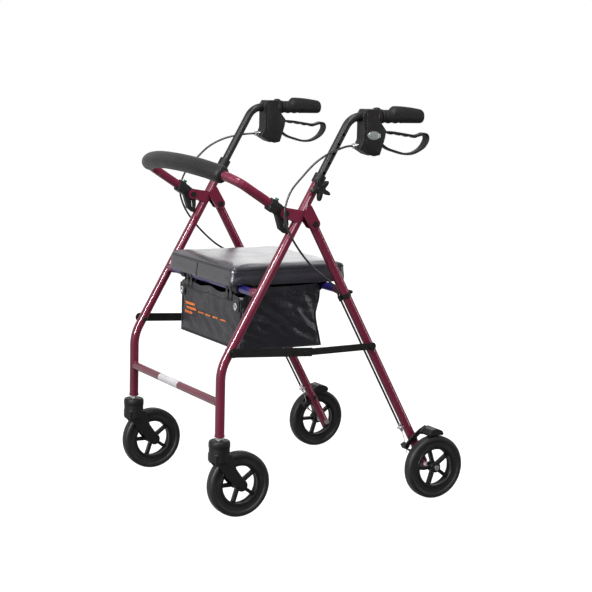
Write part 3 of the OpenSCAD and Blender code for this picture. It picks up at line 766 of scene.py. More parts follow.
def grip_shape():
    rings = []
    ends = [(0.0, 1.02), (0.015, 1.07), (0.04, 1.07), (0.055, 0.97), (0.08, 0.95)]
    stations = ends + [(0.08 + 0.86 * k / 44, 1.0) for k in range(1, 45)]
    stations += [(0.965, 0.97), (0.985, 0.90), (0.996, 0.76), (1.0, 0.55), (1.0, 0.2)]
    for t, scale in stations:
        y = GRIP_START + GRIP_LEN * t
        rings.append([pt(LEG_X + x * scale, y, GRIP_Z + z * scale) for x, z in grip_ring(t)])
    return loft(rings)


LEVER_LOOP = (
    (398, 874), (414, 875), (434, 874), (462, 870), (492, 866), (506, 868), (516, 871), (524, 867),
    (525, 855), (513, 838), (490, 826), (466, 824), (440, 830), (418, 837), (404, 846), (393, 857),
)


def lever_shape():
    """The finger loop: a band that is wider at its upturned tip, with scallops under its upper run."""
    path = smooth([pt(LEG_X, y, z) for y, z in LEVER_LOOP], 5, loop=True)
    rings = []
    for p, a, b in axes_along(path, X_AXIS, True):
        reach = (p.y - STEM.y) / MM - 395
        tip = math.exp(-(((reach - 128) / 16) ** 2))
        upper = p.z > pt(0, 0, 858).z
        under_fingers = upper and 21 < reach < 105
        scallop = 2.8 * (0.5 - 0.5 * math.cos(2 * math.pi * reach / 21)) if under_fingers else 0
        wide = 15.6 + 4.4 * clamp((reach - 14) / 20) + 7 * tip
        band = cushion_oval(wide * MM, (5.4 + scallop) * MM, 4, 20)
        shift = -scallop * 0.5 * MM if upper else 0
        rings.append([p + u * a + v * b + Z_AXIS * shift for u, v in band])
    root = plate(
        [(374, 872), (377, 889), (389, 887), (405, 872), (405, 848), (392, 849), (384, 838), (374, 842)],
        LEG_X - 4.6, LEG_X + 7.8,
    )
    return merged(loft(rings, loop=True), root)


def knob_shape():
    """Five rounded lobes about the clamping stud, with a dished face."""
    centre = Vector((KNOB.x + 20 * MM, KNOB.y, KNOB.z))
    rings = []
    sections = ((4, 3.4), (4.8, 1.2), (6.5, 0), (14, 0), (16, 1.0), (17, 3.2), (16.4, 9), (15.6, 14))
    for x, inset in sections:
        ring = []
        for k in range(100):
            q = 2 * math.pi * k / 100
            lobe = (0.5 + 0.5 * math.cos(5 * q - math.radians(228))) ** 1.6
            r = 11 + 15.5 * lobe - inset * (0.5 + 0.5 * lobe) if inset < 8 else 15.7 - 0.8 * inset
            ring.append(centre + Vector((x, r * math.cos(q), r * math.sin(q))) * MM)
        rings.append(ring)
    stud = lathe([(0, 14), (8, 14), (8, 24), (0, 24)], Vector((KNOB.x + 6 * MM, KNOB.y, KNOB.z)), X_AXIS)
    return merged(loft(rings), stud)


both("left_grip", grip_shape(), grip_finish, "left_handle", "left_hand_grip")
both("left_lever_loop", lever_shape(), black_plastic, "left_lever", "left_brake_lever")
both("left_knob", knob_shape(), black_plastic, "left_knob", "left_height_knob")

# Raised cheeks with their screws, and the flange ring of the brake housing
HOUSING_HALF, CHEEK_THICKNESS = 16, 2.6
CHEEK = (
    (352, 925), (384, 925), (391, 897), (405, 880), (403, 864),
    (398, 851), (390, 826), (376, 823), (362, 827), (352, 850),
)
SCREW = ((0, 0), (3.0, 0), (3.0, 1.0), (2.4, 1.4), (1.3, 1.4), (1.2, 0.5), (0, 0.5))
for face, sign in (("outer", 1), ("inner", -1)):
    x = LEG_X + sign * HOUSING_HALF
    cheek = plate(CHEEK, *sorted((x, x + CHEEK_THICKNESS * sign)))
    both(f"left_housing_{face}_cheek", cheek, black_plastic, "left_handle")
    for y, z in ((360, 912), (383, 833)):
        screw = lathe(SCREW, pt(x + 2.0 * sign, y, z), X_AXIS * sign, 18)
        both(f"left_housing_{face}_screw_{y}", screw, black_paint, "left_handle")
flange = [(9.6, -6), (17, -6), (20.5, -4.5), (21, 0), (20.5, 4), (17, 5.5), (9.6, 5.5)]
flange = lathe(flange, pt(LEG_X, 389, GRIP_Z), Y_AXIS, 40)
both("left_housing_flange", flange, black_plastic, "left_handle")


def badge(sections):
    """The oval badge's form from (scale, height) sections."""
    rings = []
    for scale, lift in sections:
        x, long, wide = LEG_X + 18.2 + lift, 15.5 * scale, 9.4 * scale
        rings.append([pt(x, 372 + long * u, 868 + wide * v) for u, v in circle(1, 40)])
    return loft(rings)


badge_rim = badge(((1.08, 0), (1.08, 0.8), (1.0, 1.3), (0.93, 1.0), (0.9, 1.0)))
both("left_badge_rim", badge_rim, steel, "left_handle")
badge_middle = badge(((0.93, 0.9), (0.8, 1.45), (0.5, 1.8), (0.2, 1.9), (0.02, 1.9)))
both("left_badge_face", badge_middle, badge_finish, "left_handle")

# Cable adjuster: a threaded barrel with two knurled nuts
barrel = [(0, -4), (3.1, -4)]
for k in range(9):
    barrel += [(3.1, -4 + 2 * k + 0.2), (3.6, -4 + 2 * k + 1.0), (3.1, -4 + 2 * k + 1.8)]
barrel += [(3.1, 15), (0, 15)]
nuts = [[(0, b), (5.2, b), (6.2, b + 0.8), (6.2, b + 3.6), (5.2, b + 4.4), (0, b + 4.4)] for b in (5, 11.5)]
start, toward = pt(LEG_X, 342, 845.4), Vector((0, -18, -2.6))
adjuster = merged(*(lathe(p, start, toward, 24) for p in [barrel, *nuts]))
both("left_cable_adjuster", adjuster, steel, "left_handle")


# ---- Brake cables ----
CABLE_R = 2.5 * MM
CABLE_UPPER = (
    (245, 326, 843.1), (246, 318, 843.4), (251, 304, 842), (262, 282, 838), (272, 248, 828),
    (278, 211, 808), (280, 176, 776), (280, 151, 748),
)
CABLE_LOWER = (
    (280, 151, 748), (280, 138, 718), (279, 136, 690), (278, 146, 660), (275, 162, 633),
    (270, 189, 600), (261, 225, 566), (250, 264, 540),
)
CLIP_S, STOP_S, CABLE_OFF = 193, 562, 16.5


def cable_paths():
    """The casing's centreline, cut in two where it passes the backrest bracket."""
    upper = [pt(*p) for p in CABLE_UPPER]
    lower = [pt(*p) for p in CABLE_LOWER]
    lower += [on_rear(s, CABLE_OFF) for s in (CLIP_S - 30, CLIP_S - 15)]
    lower += [on_rear(s, CABLE_OFF) for s in range(CLIP_S, STOP_S - 30, 60)]
    lower.append(on_rear(STOP_S - 9, CABLE_OFF))
    line = smooth(upper + lower[1:], 8)
    cut = (len(upper) - 1) * 8
    return line[: cut + 1], line[cut:]


upper_line, lower_line = cable_paths()
for side_name, side in SIDES:
    cable = f"{side_name}_brake_cable"
    # Each half is made in place on no body, its transform baked into the mesh
    upper = make(cable + "_upper", tube(upper_line, CABLE_R, 14), jacket, None, side)
    lower = make(cable + "_lower", tube(lower_line, CABLE_R, 14), jacket, None, side)
    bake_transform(upper)
    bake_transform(lower)
    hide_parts(cable)

# The bare wire from the stop to the brake arm, with its clamp screw, and the casing's end sleeve
WIRE_R = 0.9 * MM
wire_end = on_rear(606, 24)
wire = smooth([on_rear(STOP_S + 6, CABLE_OFF), on_rear(STOP_S + 26, 19), wire_end, on_rear(628, 29)], 6)
wire_clamp = lathe([(0, -3), (3.6, -3), (4.2, -2), (4.2, 2), (3.6, 3), (0, 3)], wire_end, X_AXIS, 6)
both("left_brake_wire", merged(tube(wire, WIRE_R, 8), wire_clamp), wire_steel, "rear_frame")
sleeve = [(0, -7), (3.0, -7), (3.6, -6), (3.6, 2), (3.1, 3), (0, 3)]
sleeve = lathe(sleeve, on_rear(STOP_S - 4, CABLE_OFF), REAR_DIR, 20)
both("left_cable_ferrule", sleeve, steel, "rear_frame")


# ---- Welds and end plugs ----
def weld(centre, leg_dir, r=CROSS_R):
    """A bead where a cross tube meets a leg's inner side."""
    path = []
    across = Vector((0, leg_dir.z, -leg_dir.y))
    for u, v in circle(r, 40):
        p = Vector((0, u, v))
        reach = math.sqrt(LEG_R**2 - min(p.dot(across), LEG_R) ** 2)
        path.append(centre + p + X_AXIS * (-reach))
    rings = []
    for i, (p, a, b) in enumerate(axes_along(path, X_AXIS, True)):
        size = (1.7 + 0.25 * math.sin(i * 2.1)) * MM
        rings.append([p + u * a + v * b for u, v in circle(size, 8)])
    return loft(rings, loop=True)


CROSSBAR_Z = 267
both("left_weld_crossbar", weld(pt(LEG_X, 0, CROSSBAR_Z), Z_AXIS), paint, "front_frame")
both("left_weld_seat_front", weld(pt(LEG_X, *FRONT_TUBE), LEG_DIR), paint, "front_frame")
both("left_weld_seat_rear", weld(pt(LEG_X, *REAR_TUBE), REAR_DIR), paint, "rear_frame")
# Burgundy lugs where the navy seat tubes meet the legs, and the plugs in the rear legs' ends
LUG = ((9.5, 0), (10.6, 0.5), (10.8, 2), (10.8, 20), (10.2, 21.5), (9.5, 22))
LUG_X = 212
for part, middle in (("front", FRONT_TUBE), ("rear", REAR_TUBE)):
    lug = lathe(LUG, pt(LUG_X, *middle), X_AXIS, 32)
    both(f"left_seat_{part}_lug", lug, paint, f"{part}_frame")
plug = [(0, -4), (11.2, -4), (11.4, -1), (11.4, 1.5), (9, 3), (0, 3.2)]
plug = lathe(plug, on_rear((AXLE - PIVOT).yz.length / MM + 14), REAR_DIR, 32)
both("left_rear_leg_plug", plug, black_plastic, "rear_frame")


# ---- Wheels: a moulding line on each tyre, hub caps and rim beads ----
def wheel_trim(centre, reach):
    """A hub cap with a rim bead on each face, out to reach millimetres from the wheel's plane."""
    shapes = []
    for sign in (1, -1):
        bead = [(44.5, 9), (45.5, 10.6), (48.5, 11.4), (51, 11.4), (51.6, 10.4), (51, 9.4)]
        shapes.append(lathe(bead, centre, X_AXIS * sign, 72))
        hub = [(5, reach), (8, reach), (11.6, reach - 1.2), (13.2, reach - 4), (13.2, 4)]
        shapes.append(lathe(hub, centre, X_AXIS * sign, 36))
    return merged(*shapes)


TYRE_LINE = ((75.6, -0.8), (76.25, -0.4), (76.25, 0.4), (75.6, 0.8))
HUB_REACH = 12.8
for end in ("rear", "front"):
    body = f"left_{end}_wheel"
    centre = joint_at(body + "_spin")
    both(body + "_trim", wheel_trim(centre, HUB_REACH), rim_plastic, body)
    both(body + "_mould_line", lathe(TYRE_LINE, centre, X_AXIS, 96), tyre, body)
# The castor's head: a cap ring over a groove
cap = [(24.3, 166), (24.9, 167), (24.9, 177), (24.3, 179.5), (22, 181), (9.5, 181.4), (9.5, 178)]
cap = lathe(cap, Vector((SIDE_X, STEM.y, 0)), Z_AXIS, 48)
both("left_castor_cap", cap, black_plastic, "left_castor")


# ---- Backrest pad ----
ARM_LEN, BOW = 0.116, 0.072
PAD_R, PAD_HALF_ANGLE = 20.5 * MM, 57


def bow_point(angle):
    a = math.radians(angle)
    return on_arm(ARM_LEN + BOW * math.cos(a), 0, SIDE_X * math.sin(a))


def pad_shape():
    """The foam sleeve: a plump tube with rounded ends that closes on the bent tube."""
    count = 96
    rings = []
    path = [bow_point(-PAD_HALF_ANGLE + 2 * PAD_HALF_ANGLE * k / count) for k in range(count + 1)]
    lengths = [0.0]
    for a, b in zip(path, path[1:]):
        lengths.append(lengths[-1] + (b - a).length)
    for i, (p, a, b) in enumerate(axes_along(path, ARM_UP, False)):
        near_end = min(lengths[i], lengths[-1] - lengths[i])
        turn = min(near_end / (9 * MM), 1)
        r = LEG_R + (PAD_R - LEG_R) * math.sqrt(max(0.0, 1 - (1 - turn) ** 2))
        ring = []
        for u, v in circle(1, 36):
            spot = p + (u * a + v * b) * PAD_R
            dent = 1 + 0.018 * noise.noise(spot * 18) + 0.006 * noise.noise(spot * 70)
            ring.append(p + (u * a + v * b) * r * (dent if turn >= 1 else 1))
        rings.append(ring)
    return loft(rings)


pad = make("backrest_foam", pad_shape(), foam_finish, "backrest")
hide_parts("backrest_pad")


# ---- Seat cushion ----
def plan_outline(x_half, y0, y1, r, corner_steps=8, straight_steps=26):
    """A rounded rectangle in X and Y, anticlockwise, with even steps along its straight sides."""
    corners = ((x_half - r, y1 - r, 0), (-x_half + r, y1 - r, 90), (-x_half + r, y0 + r, 180),
               (x_half - r, y0 + r, 270))
    out = []
    for i, (cx, cy, start) in enumerate(corners):
        for k in range(corner_steps + 1):
            q = math.radians(start + 90 * k / corner_steps)
            out.append((cx + r * math.cos(q), cy + r * math.sin(q)))
        nx, ny, n_start = corners[(i + 1) % 4]
        q = math.radians(n_start)
        target = (nx + r * math.cos(q), ny + r * math.sin(q))
        ax, ay = out[-1]
        for k in range(1, straight_steps):
            t = k / straight_steps
            out.append((ax + (target[0] - ax) * t, ay + (target[1] - ay) * t))
    return out


def inflate(piece, pressure, pinned_below, most):
    """Blows the mesh up as a cloth skin held at its bottom, moving no point further than most."""
    rest = [v.co.copy() for v in piece.data.vertices]
    group = piece.vertex_groups.new(name="held")
    group.add([i for i, co in enumerate(rest) if co.z < pinned_below], 1.0, "REPLACE")
    cloth = piece.modifiers.new("cloth", "CLOTH")
    cloth.settings.quality = 6
    cloth.settings.vertex_group_mass = "held"
    cloth.settings.use_pressure = True
    cloth.settings.uniform_pressure_force = pressure
    cloth.settings.effector_weights.gravity = 0
    cloth.settings.tension_stiffness = 12
    cloth.settings.bending_stiffness = 0.6
    cloth.point_cache.frame_start = 1
    cloth.point_cache.frame_end = 20
    for number in range(1, 21):
        scene.frame_set(number)
    depsgraph = bpy.context.evaluated_depsgraph_get()
    blown = [v.co.copy() for v in piece.evaluated_get(depsgraph).data.vertices]
    piece.modifiers.clear()
    piece.vertex_groups.clear()
    scene.frame_set(1)
    for vertex, before, after in zip(piece.data.vertices, rest, blown):
        move = after - before
        if move.length > most:
            move = move * (most / move.length)
        vertex.co = before + move


def seat_cushion():
    low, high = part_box("seat_cushion")
    x_half = high.x / MM
    y0, y1 = (low.y - STEM.y) / MM, (high.y - STEM.y) / MM
    bottom, top = low.z / MM, high.z / MM
    deep = top - bottom
    # (step in from the side, height) from the bottom's edge to the middle of the top
    profile = (
        (4, 0), (2.2, 1.2), (1.6, 5), (1.4, 14), (1.4, deep - 12), (1.6, deep - 6.3),
        (2.8, deep - 3.3), (6, deep - 1.3), (13, deep - 0.7), (40, deep - 0.4), (80, deep - 0.3),
        (120, deep - 0.3),
    )
    rings = []
    for step, rise in profile:
        radius = max(15 - step, 5)
        outline = plan_outline(x_half - step, y0 + step, y1 - step, radius)
        rings.append([pt(x, y, bottom + rise) for x, y in outline])
    cushion = make("seat_pad", loft(rings), seat_finish, None)
    remesh = cushion.modifiers.new("remesh", "REMESH")
    remesh.mode = "VOXEL"
    remesh.voxel_size = 5 * MM
    apply_modifiers(cushion)
    inflate(cushion, 4.0, (bottom + 12) * MM, 2.5 * MM)
    centre = pt(0, (y0 + y1) / 2, bottom)
    half = Vector((x_half * MM, (y1 - y0) / 2 * MM))
    crown = 2.2 * MM
    for vertex in cushion.data.vertices:
        u = (vertex.co.x - centre.x) / half.x
        v = (vertex.co.y - centre.y) / half.y
        rise = clamp((vertex.co.z - bottom * MM) / (20 * MM))
        # The skirt hangs a little below the board, but not where the tube passes
        rim = clamp((max(abs(u) * half.x - half.x, abs(v) * half.y - half.y) / MM + 9) / 4)
        beside_tube = abs(vertex.co.y - pt(0, FRONT_TUBE[0], 0).y) < 17 * MM
        low_part = clamp(1 - (vertex.co.z / MM - bottom) / 14)
        vertex.co.z -= rim * low_part * (0 if beside_tube else 4.5) * MM
        swell = max(0.0, 1 - u**4) * max(0.0, 1 - v**4)
        vertex.co.z += rise * (crown * swell + 0.5 * MM * noise.noise(vertex.co * 22))
        vertex.co.z = min(vertex.co.z, (top + 3.5) * MM)
    divide = cushion.modifiers.new("divide", "SUBSURF")
    divide.levels = 1
    apply_modifiers(cushion)
    groove = (top - 8.5) * MM
    for vertex in cushion.data.vertices:
        depth = math.exp(-(((vertex.co.z - groove) / (1.6 * MM)) ** 2))
        outward = Vector((vertex.co.x - centre.x, vertex.co.y - centre.y, 0))
        edge = max(abs(outward.x) / half.x, abs(outward.y) / half.y) > 0.9
        if edge:
            vertex.co -= outward.normalized() * depth * 1.3 * MM
    cushion.data.shade_smooth()
    cushion.data.materials.clear()
    cushion.data.materials.append(seat_finish)
    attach(cushion, "seat")
    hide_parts("seat_cushion")
    return cushion, centre, half, groove, bottom


def skin_hits(piece, starts, aims):
    """Where rays from outside meet the piece, with the surface's direction there."""
    mesh = piece.data
    tree = BVHTree.FromPolygons([v.co for v in mesh.vertices], [p.vertices for p in mesh.polygons])
    hits = []
    for start, aim in zip(starts, aims):
        spot, normal, _, _ = tree.ray_cast(start, aim)
        if spot is not None:
            hits.append((spot, normal))
    return hits


def seat_seams(cushion, centre, half, groove, bottom):
    """The welt under the top edge with its stitches, and the closing seam of the front skirt."""
    outline = plan_outline(half.x / MM + 20, -half.y / MM - 20, half.y / MM + 20, 30)
    inner = plan_outline(half.x / MM - 30, -half.y / MM + 30, half.y / MM - 30, 5)
    starts, ends = (
        [Vector((x * MM, centre.y + y * MM, groove)) for x, y in plan] for plan in (outline, inner)
    )
    aims = [(end - start).normalized() for start, end in zip(starts, ends)]
    line = [spot + normal * 0.4 * MM for spot, normal in skin_hits(cushion, starts, aims)]
    welt = tube(line, 1.5 * MM, 8, up=Z_AXIS, loop=True)
    make("seat_welt", welt, piping_finish, "seat")
    thread_line = [p + Z_AXIS * 3.4 * MM for p in line]
    hits = skin_hits(
        cushion, [p + (p - centre).normalized() * 20 * MM for p in thread_line],
        [-(p - centre).normalized() for p in thread_line],
    )
    sewn = [spot for spot, _ in hits]
    make("seat_stitches", stitches(sewn + sewn[:1], Z_AXIS), thread, "seat")
    x = -15 * MM
    heights = [(bottom - 2 + 34 * k / 10) * MM for k in range(11)]
    starts = [Vector((x, centre.y - half.y - 30 * MM, z)) for z in heights]
    closing = [s + n * 0.2 * MM for s, n in skin_hits(cushion, starts, [Y_AXIS] * 11)]
    make("seat_skirt_seam", tube(closing, 1.1 * MM, 8), piping_finish, "seat")


seat_facts = seat_cushion()
seat_seams(*seat_facts)


# ---- Bag ----
BAG_X, BAG_FRONT, BAG_REAR = 163, 88, 300
BAG_TOP, BAG_FRONT_TOP, BAG_BOTTOM = 515, 495.5, 367
BAG_MIDDLE = (BAG_FRONT + BAG_REAR) / 2
BAG_CORNER = 12
BAG_PLAN = plan_outline(BAG_X, BAG_FRONT, BAG_REAR, BAG_CORNER, 6, 44)


def fold_field(x, y, z):
    """Soft diagonal creases, in millimetres, from ridges of stretched noise."""
    p = Vector((x * 0.011, y * 0.011, z * 0.017))
    lean = Vector((p.x + p.y + 0.9 * p.z, 0.32 * (p.x - p.z), 0.35 * p.y))
    ridge = 1 - abs(noise.noise(lean * 2.3)) * 2.2
    fine = noise.noise(Vector((x * 0.035, y * 0.035, z * 0.05)))
    crisp = 1 - abs(noise.noise(Vector((x * 0.02 - z * 0.03, y * 0.025 + z * 0.03, z * 0.02)) * 1.6)) * 2.4
    return 6.0 * max(ridge, -0.3) + 1.0 * fine + 2.0 * max(crisp, 0)


def bag_point(x, y, h):
    """A point of the bag's shell from its place in the plan and h from 0 at the top to 1 at the bottom."""
    u = x / BAG_X
    v = (y - BAG_MIDDLE) / ((BAG_REAR - BAG_FRONT) / 2)
    # The front is cut lower than the sides
    top = BAG_FRONT_TOP + (BAG_TOP - BAG_FRONT_TOP) * ease((y - 100) / 22)
    z = top + (BAG_BOTTOM - top) * h
    free = max(0.0, math.sin(math.pi * min(max(h, 0) * 1.05, 1))) ** 0.8
    on_side = abs(u) > 0.97
    along = v if on_side else u
    middle = max(0.0, 1 - along * along)
    folds = fold_field(x, y, z) * (1.0 if on_side or v > 0 else 0.4)
    bulge = free * middle * 3.0 + folds * free * min(1.0, middle * 3) - 3.2 * free
    out_x = math.copysign(1, u) if on_side else 0
    out_y = 0 if on_side else math.copysign(1, v)
    x += out_x * bulge
    y += out_y * bulge
    # The rear edge pinches in half way down and kicks out at the bottom
    rear = max(0.0, v) ** 2
    y += rear * (-9 * math.exp(-(((h - 0.5) / 0.2) ** 2)) + 26 * max(0.0, h - 0.75))
    # The top edge hangs between its straps
    hang = 6.0 * (1 - math.cos(3 * math.pi * (x / BAG_X))) / 2 if abs(v) > 0.9 else 4.0 * middle
    z -= hang * (1 - h) ** 2
    z -= 5.0 * max(0.0, 1 - u * u) * max(0.0, 1 - v * v) * max(0.0, h - 0.96) * 25 if h > 0.96 else 0
    return pt(x, y, z)


def bag_shell():
    rows = 34
    rings = [[bag_point(x, y, k / rows) for x, y in BAG_PLAN] for k in range(rows + 1)]
    for scale in (0.97, 0.90, 0.75, 0.5, 0.25, 0.02):
        ring = []
        for x, y in BAG_PLAN:
            bx, by = x * scale, BAG_MIDDLE + (y - BAG_MIDDLE) * scale
            droop = 5.0 * (1 - scale**2) + 1.6 * noise.noise(Vector((bx, by, 7)) * 0.03)
            ring.append(pt(bx, by, BAG_BOTTOM - droop + 1.5))
        rings.append(ring)
    verts, faces = loft(rings, caps=False)
    return verts, faces + [tuple(range(len(verts) - len(BAG_PLAN), len(verts)))]


def on_bag(name, shape, finish, sharp=40, thickness=0.0):
    """A part of the bag, riding on the front frame."""
    piece = make(name, shape, finish, None, sharp=sharp)
    if thickness:
        solid = piece.modifiers.new("thicken", "SOLIDIFY")
        solid.thickness = thickness * MM
        solid.offset = -1
        apply_modifiers(piece)
    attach(piece, "front_frame")
    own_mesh(piece)
    return piece


bag = on_bag("bag_shell", bag_shell(), bag_cloth, sharp=180, thickness=1.5)
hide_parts("bag")


def outward_of(x, y):
    """The direction out of the bag at a place in its plan."""
    if abs(x) >= BAG_X - 1:
        return Vector((math.copysign(1, x), 0, 0))
    if abs(x) > BAG_X - BAG_CORNER:
        cy = BAG_REAR - BAG_CORNER if y > BAG_MIDDLE else BAG_FRONT + BAG_CORNER
        return Vector((x - math.copysign(BAG_X - BAG_CORNER, x), y - cy, 0)).normalized()
    return Vector((0, math.copysign(1, y - BAG_MIDDLE), 0))


def bag_trim():
    """Piping down the corners and round the bottom, and the bound top edge."""
    shapes = []
    for sx in (1, -1):
        for y in (BAG_FRONT, BAG_REAR):
            inward = BAG_CORNER * (1 - math.sqrt(0.5))
            cx = sx * (BAG_X - inward)
            cy = y + (inward if y == BAG_FRONT else -inward)
            out = outward_of(cx, cy)
            line = [bag_point(cx, cy, k / 40) + out * 1.2 * MM for k in range(1, 41)]
            shapes.append(tube(line, 2.0 * MM, 8, up=Vector((1, 0.2, 0))))
    bottom = [bag_point(x, y, 0.985) + outward_of(x, y) * 0.8 * MM for x, y in BAG_PLAN]
    shapes.append(tube(bottom, 2.2 * MM, 8, up=Z_AXIS, loop=True))
    return merged(*shapes)


def bag_hem():
    """A band of doubled cloth round the top edge, outside and inside."""
    rings = []
    for h, out in ((0.15, 0.5), (0.14, 1.5), (0.02, 1.7), (-0.012, 0.6), (-0.012, -1.6), (0.02, -2.8),
                   (0.14, -2.6), (0.15, -1.8)):
        rings.append([bag_point(x, y, h) + outward_of(x, y) * out * MM for x, y in BAG_PLAN])
    return loft(rings, caps=False)


on_bag("bag_piping", bag_trim(), piping_finish)
on_bag("bag_hem", bag_hem(), bag_cloth)
hem_line = [bag_point(x, y, 0.125) + outward_of(x, y) * 1.9 * MM for x, y in BAG_PLAN]
on_bag("bag_hem_stitches", stitches(hem_line + hem_line[:1], Z_AXIS, 3.0, 1.8, 0.4), thread)


def strap_loop(x, y, z, face, inside, drop, width):
    """A webbing loop over a tube at (y, z), sewn to the bag at face and inside, drop below the tube."""
    r = 10.3
    turn = 1 if face < y else -1
    start = pt(x, face, z - drop)
    points = [start, pt(x, face, z - drop * 0.55)]
    for k in range(9):
        q = math.radians(200 - 220 * k / 8)
        points.append(pt(x, y + turn * r * math.cos(q), z + r * math.sin(q)))
    points += [pt(x, inside, z - drop * 0.55), pt(x, inside, z - drop)]
    path = smooth(points, 4)
    return sweep(path, lambda t: cushion_oval(width * MM, 1.5 * MM, 6, 16))


def stitched_box(x, y, z, w, h, out):
    """A box of stitches with a cross in it, on a vertical face."""
    corners = [(-1, -1), (1, -1), (1, 1), (-1, 1), (-1, -1), (1, 1)]
    line = [pt(x + cx * w / 2, y, z + cz * h / 2) for cx, cz in corners]
    return stitches(line, Vector((0, out, 0)), 2.4, 1.2, 0.35)


FRONT_STRAPS, REAR_STRAP = (98, 118), 130
for number, x in enumerate(FRONT_STRAPS):
    strap = strap_loop(x, *FRONT_TUBE, face=85.4, inside=92.5, drop=34, width=9)
    both(f"left_front_strap_{number}", strap, strap_finish, "front_frame")
sewn = merged(*(stitched_box(x, 84.4, 482, 6, 8, -1) for x in FRONT_STRAPS))
both("left_front_strap_stitches", sewn, thread, "front_frame")
strap = strap_loop(REAR_STRAP, *REAR_TUBE, face=302.4, inside=304.2, drop=34, width=22)
both("left_rear_strap", strap, strap_finish, "rear_frame")


# Tabs with an oval ring snap near the front top corners
def tab_shape(x):
    rows = []
    for k in range(15):
        h = 0.03 + 0.27 * k / 14
        taper = 1 if k < 12 else 1 - 0.18 * (k - 11)
        lift = 1.9 + 1.2 * math.sin(math.pi * k / 14)
        rows.append([bag_point(x + 13 * taper * i / 6, BAG_FRONT, h) + Vector((0, -lift * MM, 0))
                     for i in range(-6, 7)])
    return grid(rows)


def ring_snap(x):
    centre = bag_point(x, BAG_FRONT, 0.19) + Vector((0, -4.4 * MM, 0))
    path = [centre + Vector((5.0 * u, 0, 7.4 * v)) * MM for u, v in circle(1, 36)]
    return tube(path, 1.5 * MM, 10, up=Y_AXIS, loop=True)


for side_name, x in (("left", 144), ("right", -150)):
    on_bag(f"{side_name}_bag_tab", tab_shape(x), bag_cloth, sharp=180, thickness=1.0)
    on_bag(f"{side_name}_snap_ring", ring_snap(x), label_finish)


# A plain orange mark: three bars and a row of dashes, laid on the cloth
def mark_patch(x0, x1, z0, z1, power=8):
    """A patch with round ends, standing in front of the bag."""
    cx, cz = (x0 + x1) / 2, (z0 + z1) / 2
    outline = cushion_oval(x1 - x0, z1 - z0, power, 40)
    scales = (1.0, 0.88, 0.75, 0.6, 0.45, 0.3, 0.15, 0.02)
    rings = [[pt(cx + u * k, BAG_FRONT - 40, cz + v * k) for u, v in outline] for k in scales]
    return loft(rings, caps=False)


MARK_BARS = ((-138, -78, 436, 442), (-128, -68, 425, 431), (-138, -92, 414, 420))
MARK_DASHES = (-42, -2, 38, 78)
marks = [mark_patch(*bar) for bar in MARK_BARS]
marks += [mark_patch(x - 14, x + 14, 424, 428) for x in MARK_DASHES]
verts, faces = merged(*marks)
laid = [spot - Y_AXIS * 0.9 * MM for spot, _ in skin_hits(bag, verts, [Y_AXIS] * len(verts))]
on_bag("bag_mark", (laid, faces), orange_print, sharp=180)


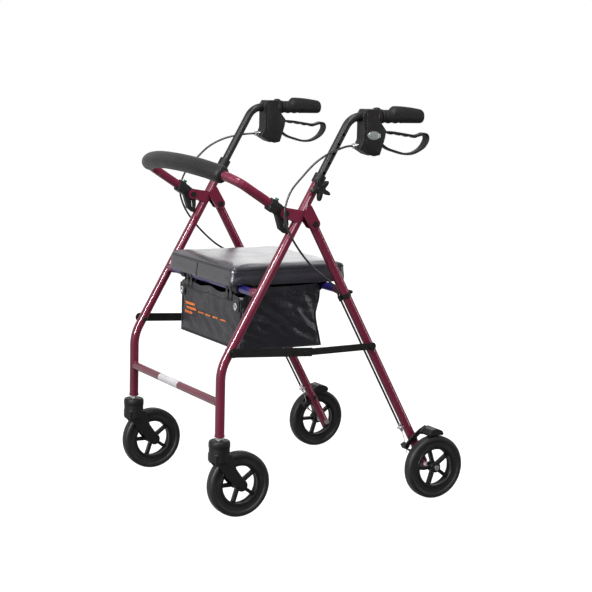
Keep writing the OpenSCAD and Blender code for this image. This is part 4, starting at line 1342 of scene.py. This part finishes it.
# ---- Room: floor, light and camera ----
def floor():
    """A plain pale floor that takes no shadow and sends no light back up."""
    grey = bpy.data.materials.new("pale_floor")
    grey.use_nodes = True
    shader = grey.node_tree.nodes["Principled BSDF"]
    constants = {
        "Base Color": (0.25, 0.25, 0.25, 1),
        "Roughness": 1.0,
        "Specular IOR Level": 0.0,
        "Emission Color": (1.0, 1.0, 1.0, 1),
        "Emission Strength": 0.96,
    }
    for socket, value in constants.items():
        shader.inputs[socket].default_value = value
    mesh = bpy.data.meshes.new("floor")
    mesh.from_pydata([(-9, -9, 0), (9, -9, 0), (9, 9, 0), (-9, 9, 0)], [], [(0, 1, 2, 3)])
    mesh.materials.append(grey)
    ground = bpy.data.objects.new("floor", mesh)
    ground.visible_diffuse = ground.visible_glossy = ground.visible_shadow = False
    scene.collection.objects.link(ground)
    ground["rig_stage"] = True


def studio():
    """A white room and six soft lamps, the stripe among them only for the gloss along the tubes."""
    world = bpy.data.worlds.new("studio")
    world.use_nodes = True
    tree = world.node_tree
    background = tree.nodes["Background"]
    background.inputs["Color"].default_value = (1.0, 1.0, 1.0, 1)
    # The room is white to look at; as a light it is dimmer, and dimmest to the rear right
    place = tree.nodes.new("ShaderNodeTexCoord").outputs["Generated"]
    toward = tree.nodes.new("ShaderNodeVectorMath")
    toward.operation = "DOT_PRODUCT"
    tree.links.new(place, toward.inputs[0])
    toward.inputs[1].default_value = (0.85, 0.5, -0.15)
    fill = tree.nodes.new("ShaderNodeMapRange")
    tree.links.new(toward.outputs["Value"], fill.inputs["Value"])
    for socket, value in (("From Min", -0.8), ("From Max", 0.6), ("To Min", 0.85), ("To Max", 0.21)):
        fill.inputs[socket].default_value = value
    seen = tree.nodes.new("ShaderNodeLightPath").outputs["Is Camera Ray"]
    level = tree.nodes.new("ShaderNodeMapRange")
    tree.links.new(seen, level.inputs["Value"])
    tree.links.new(fill.outputs["Result"], level.inputs["To Min"])
    level.inputs["To Max"].default_value = 1.0
    tree.links.new(level.outputs["Result"], background.inputs["Strength"])
    scene.world = world
    scene.view_settings.view_transform = "Standard"
    lights = (
        ("overhead", (0.9, -0.2, 2.7), 0.5, 2.4, 55),
        ("front", (1.05, -2.5, 2.13), 0.35, 2.6, 26),
        ("side", (3.2, -1.0, 2.2), 1.4, 1.4, 60),
        ("low_rear", (1.45, 2.8, 0.65), 0.3, 1.4, 16),
        ("rear", (-2.6, 1.9, 1.25), 1.9, 1.6, 13),
        ("stripe", (1.05, -2.5, 1.5), 0.26, 1.5, 170),
    )
    for name, place, width, height, power in lights:
        data = bpy.data.lights.new(name, "AREA")
        data.shape = "RECTANGLE"
        data.size, data.size_y, data.energy = width, height, power
        lamp = bpy.data.objects.new(name, data)
        lamp.location = place
        aim = Vector((0, 0, 0.5)) - lamp.location
        lamp.rotation_euler = aim.to_track_quat("-Z", "Y").to_euler()
        lamp.visible_camera = False
        lamp.visible_diffuse = name != "stripe"
        scene.collection.objects.link(lamp)


CAMERA_TURN = (61.2, 8.6, 1.4)  # azimuth, elevation and roll in degrees
CAMERA_PLACE = (3.5599, STEM.y - 1.6342, 1.0747)
CAMERA_LENS = 101.86


def camera():
    azimuth, elevation, roll = (math.radians(a) for a in CAMERA_TURN)
    level = math.cos(elevation)
    back = Vector((math.sin(azimuth) * level, -math.cos(azimuth) * level, math.sin(elevation)))
    right = (-back).cross(Z_AXIS).normalized()
    up = right.cross(-back)
    across = right * math.cos(roll) + up * math.sin(roll)
    upward = up * math.cos(roll) - right * math.sin(roll)
    data = bpy.data.cameras.new("camera")
    data.lens = CAMERA_LENS
    data.sensor_width = 36
    eye = bpy.data.objects.new("camera", data)
    turn = Matrix((across, upward, back)).transposed().to_4x4()
    eye.matrix_world = Matrix.Translation(CAMERA_PLACE) @ turn
    scene.collection.objects.link(eye)
    scene.camera = eye


floor()
studio()
camera()

size = {"cad": cad_bounds, "visual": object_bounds()}
size = {key: [list(corner) for corner in box] for key, box in size.items()}
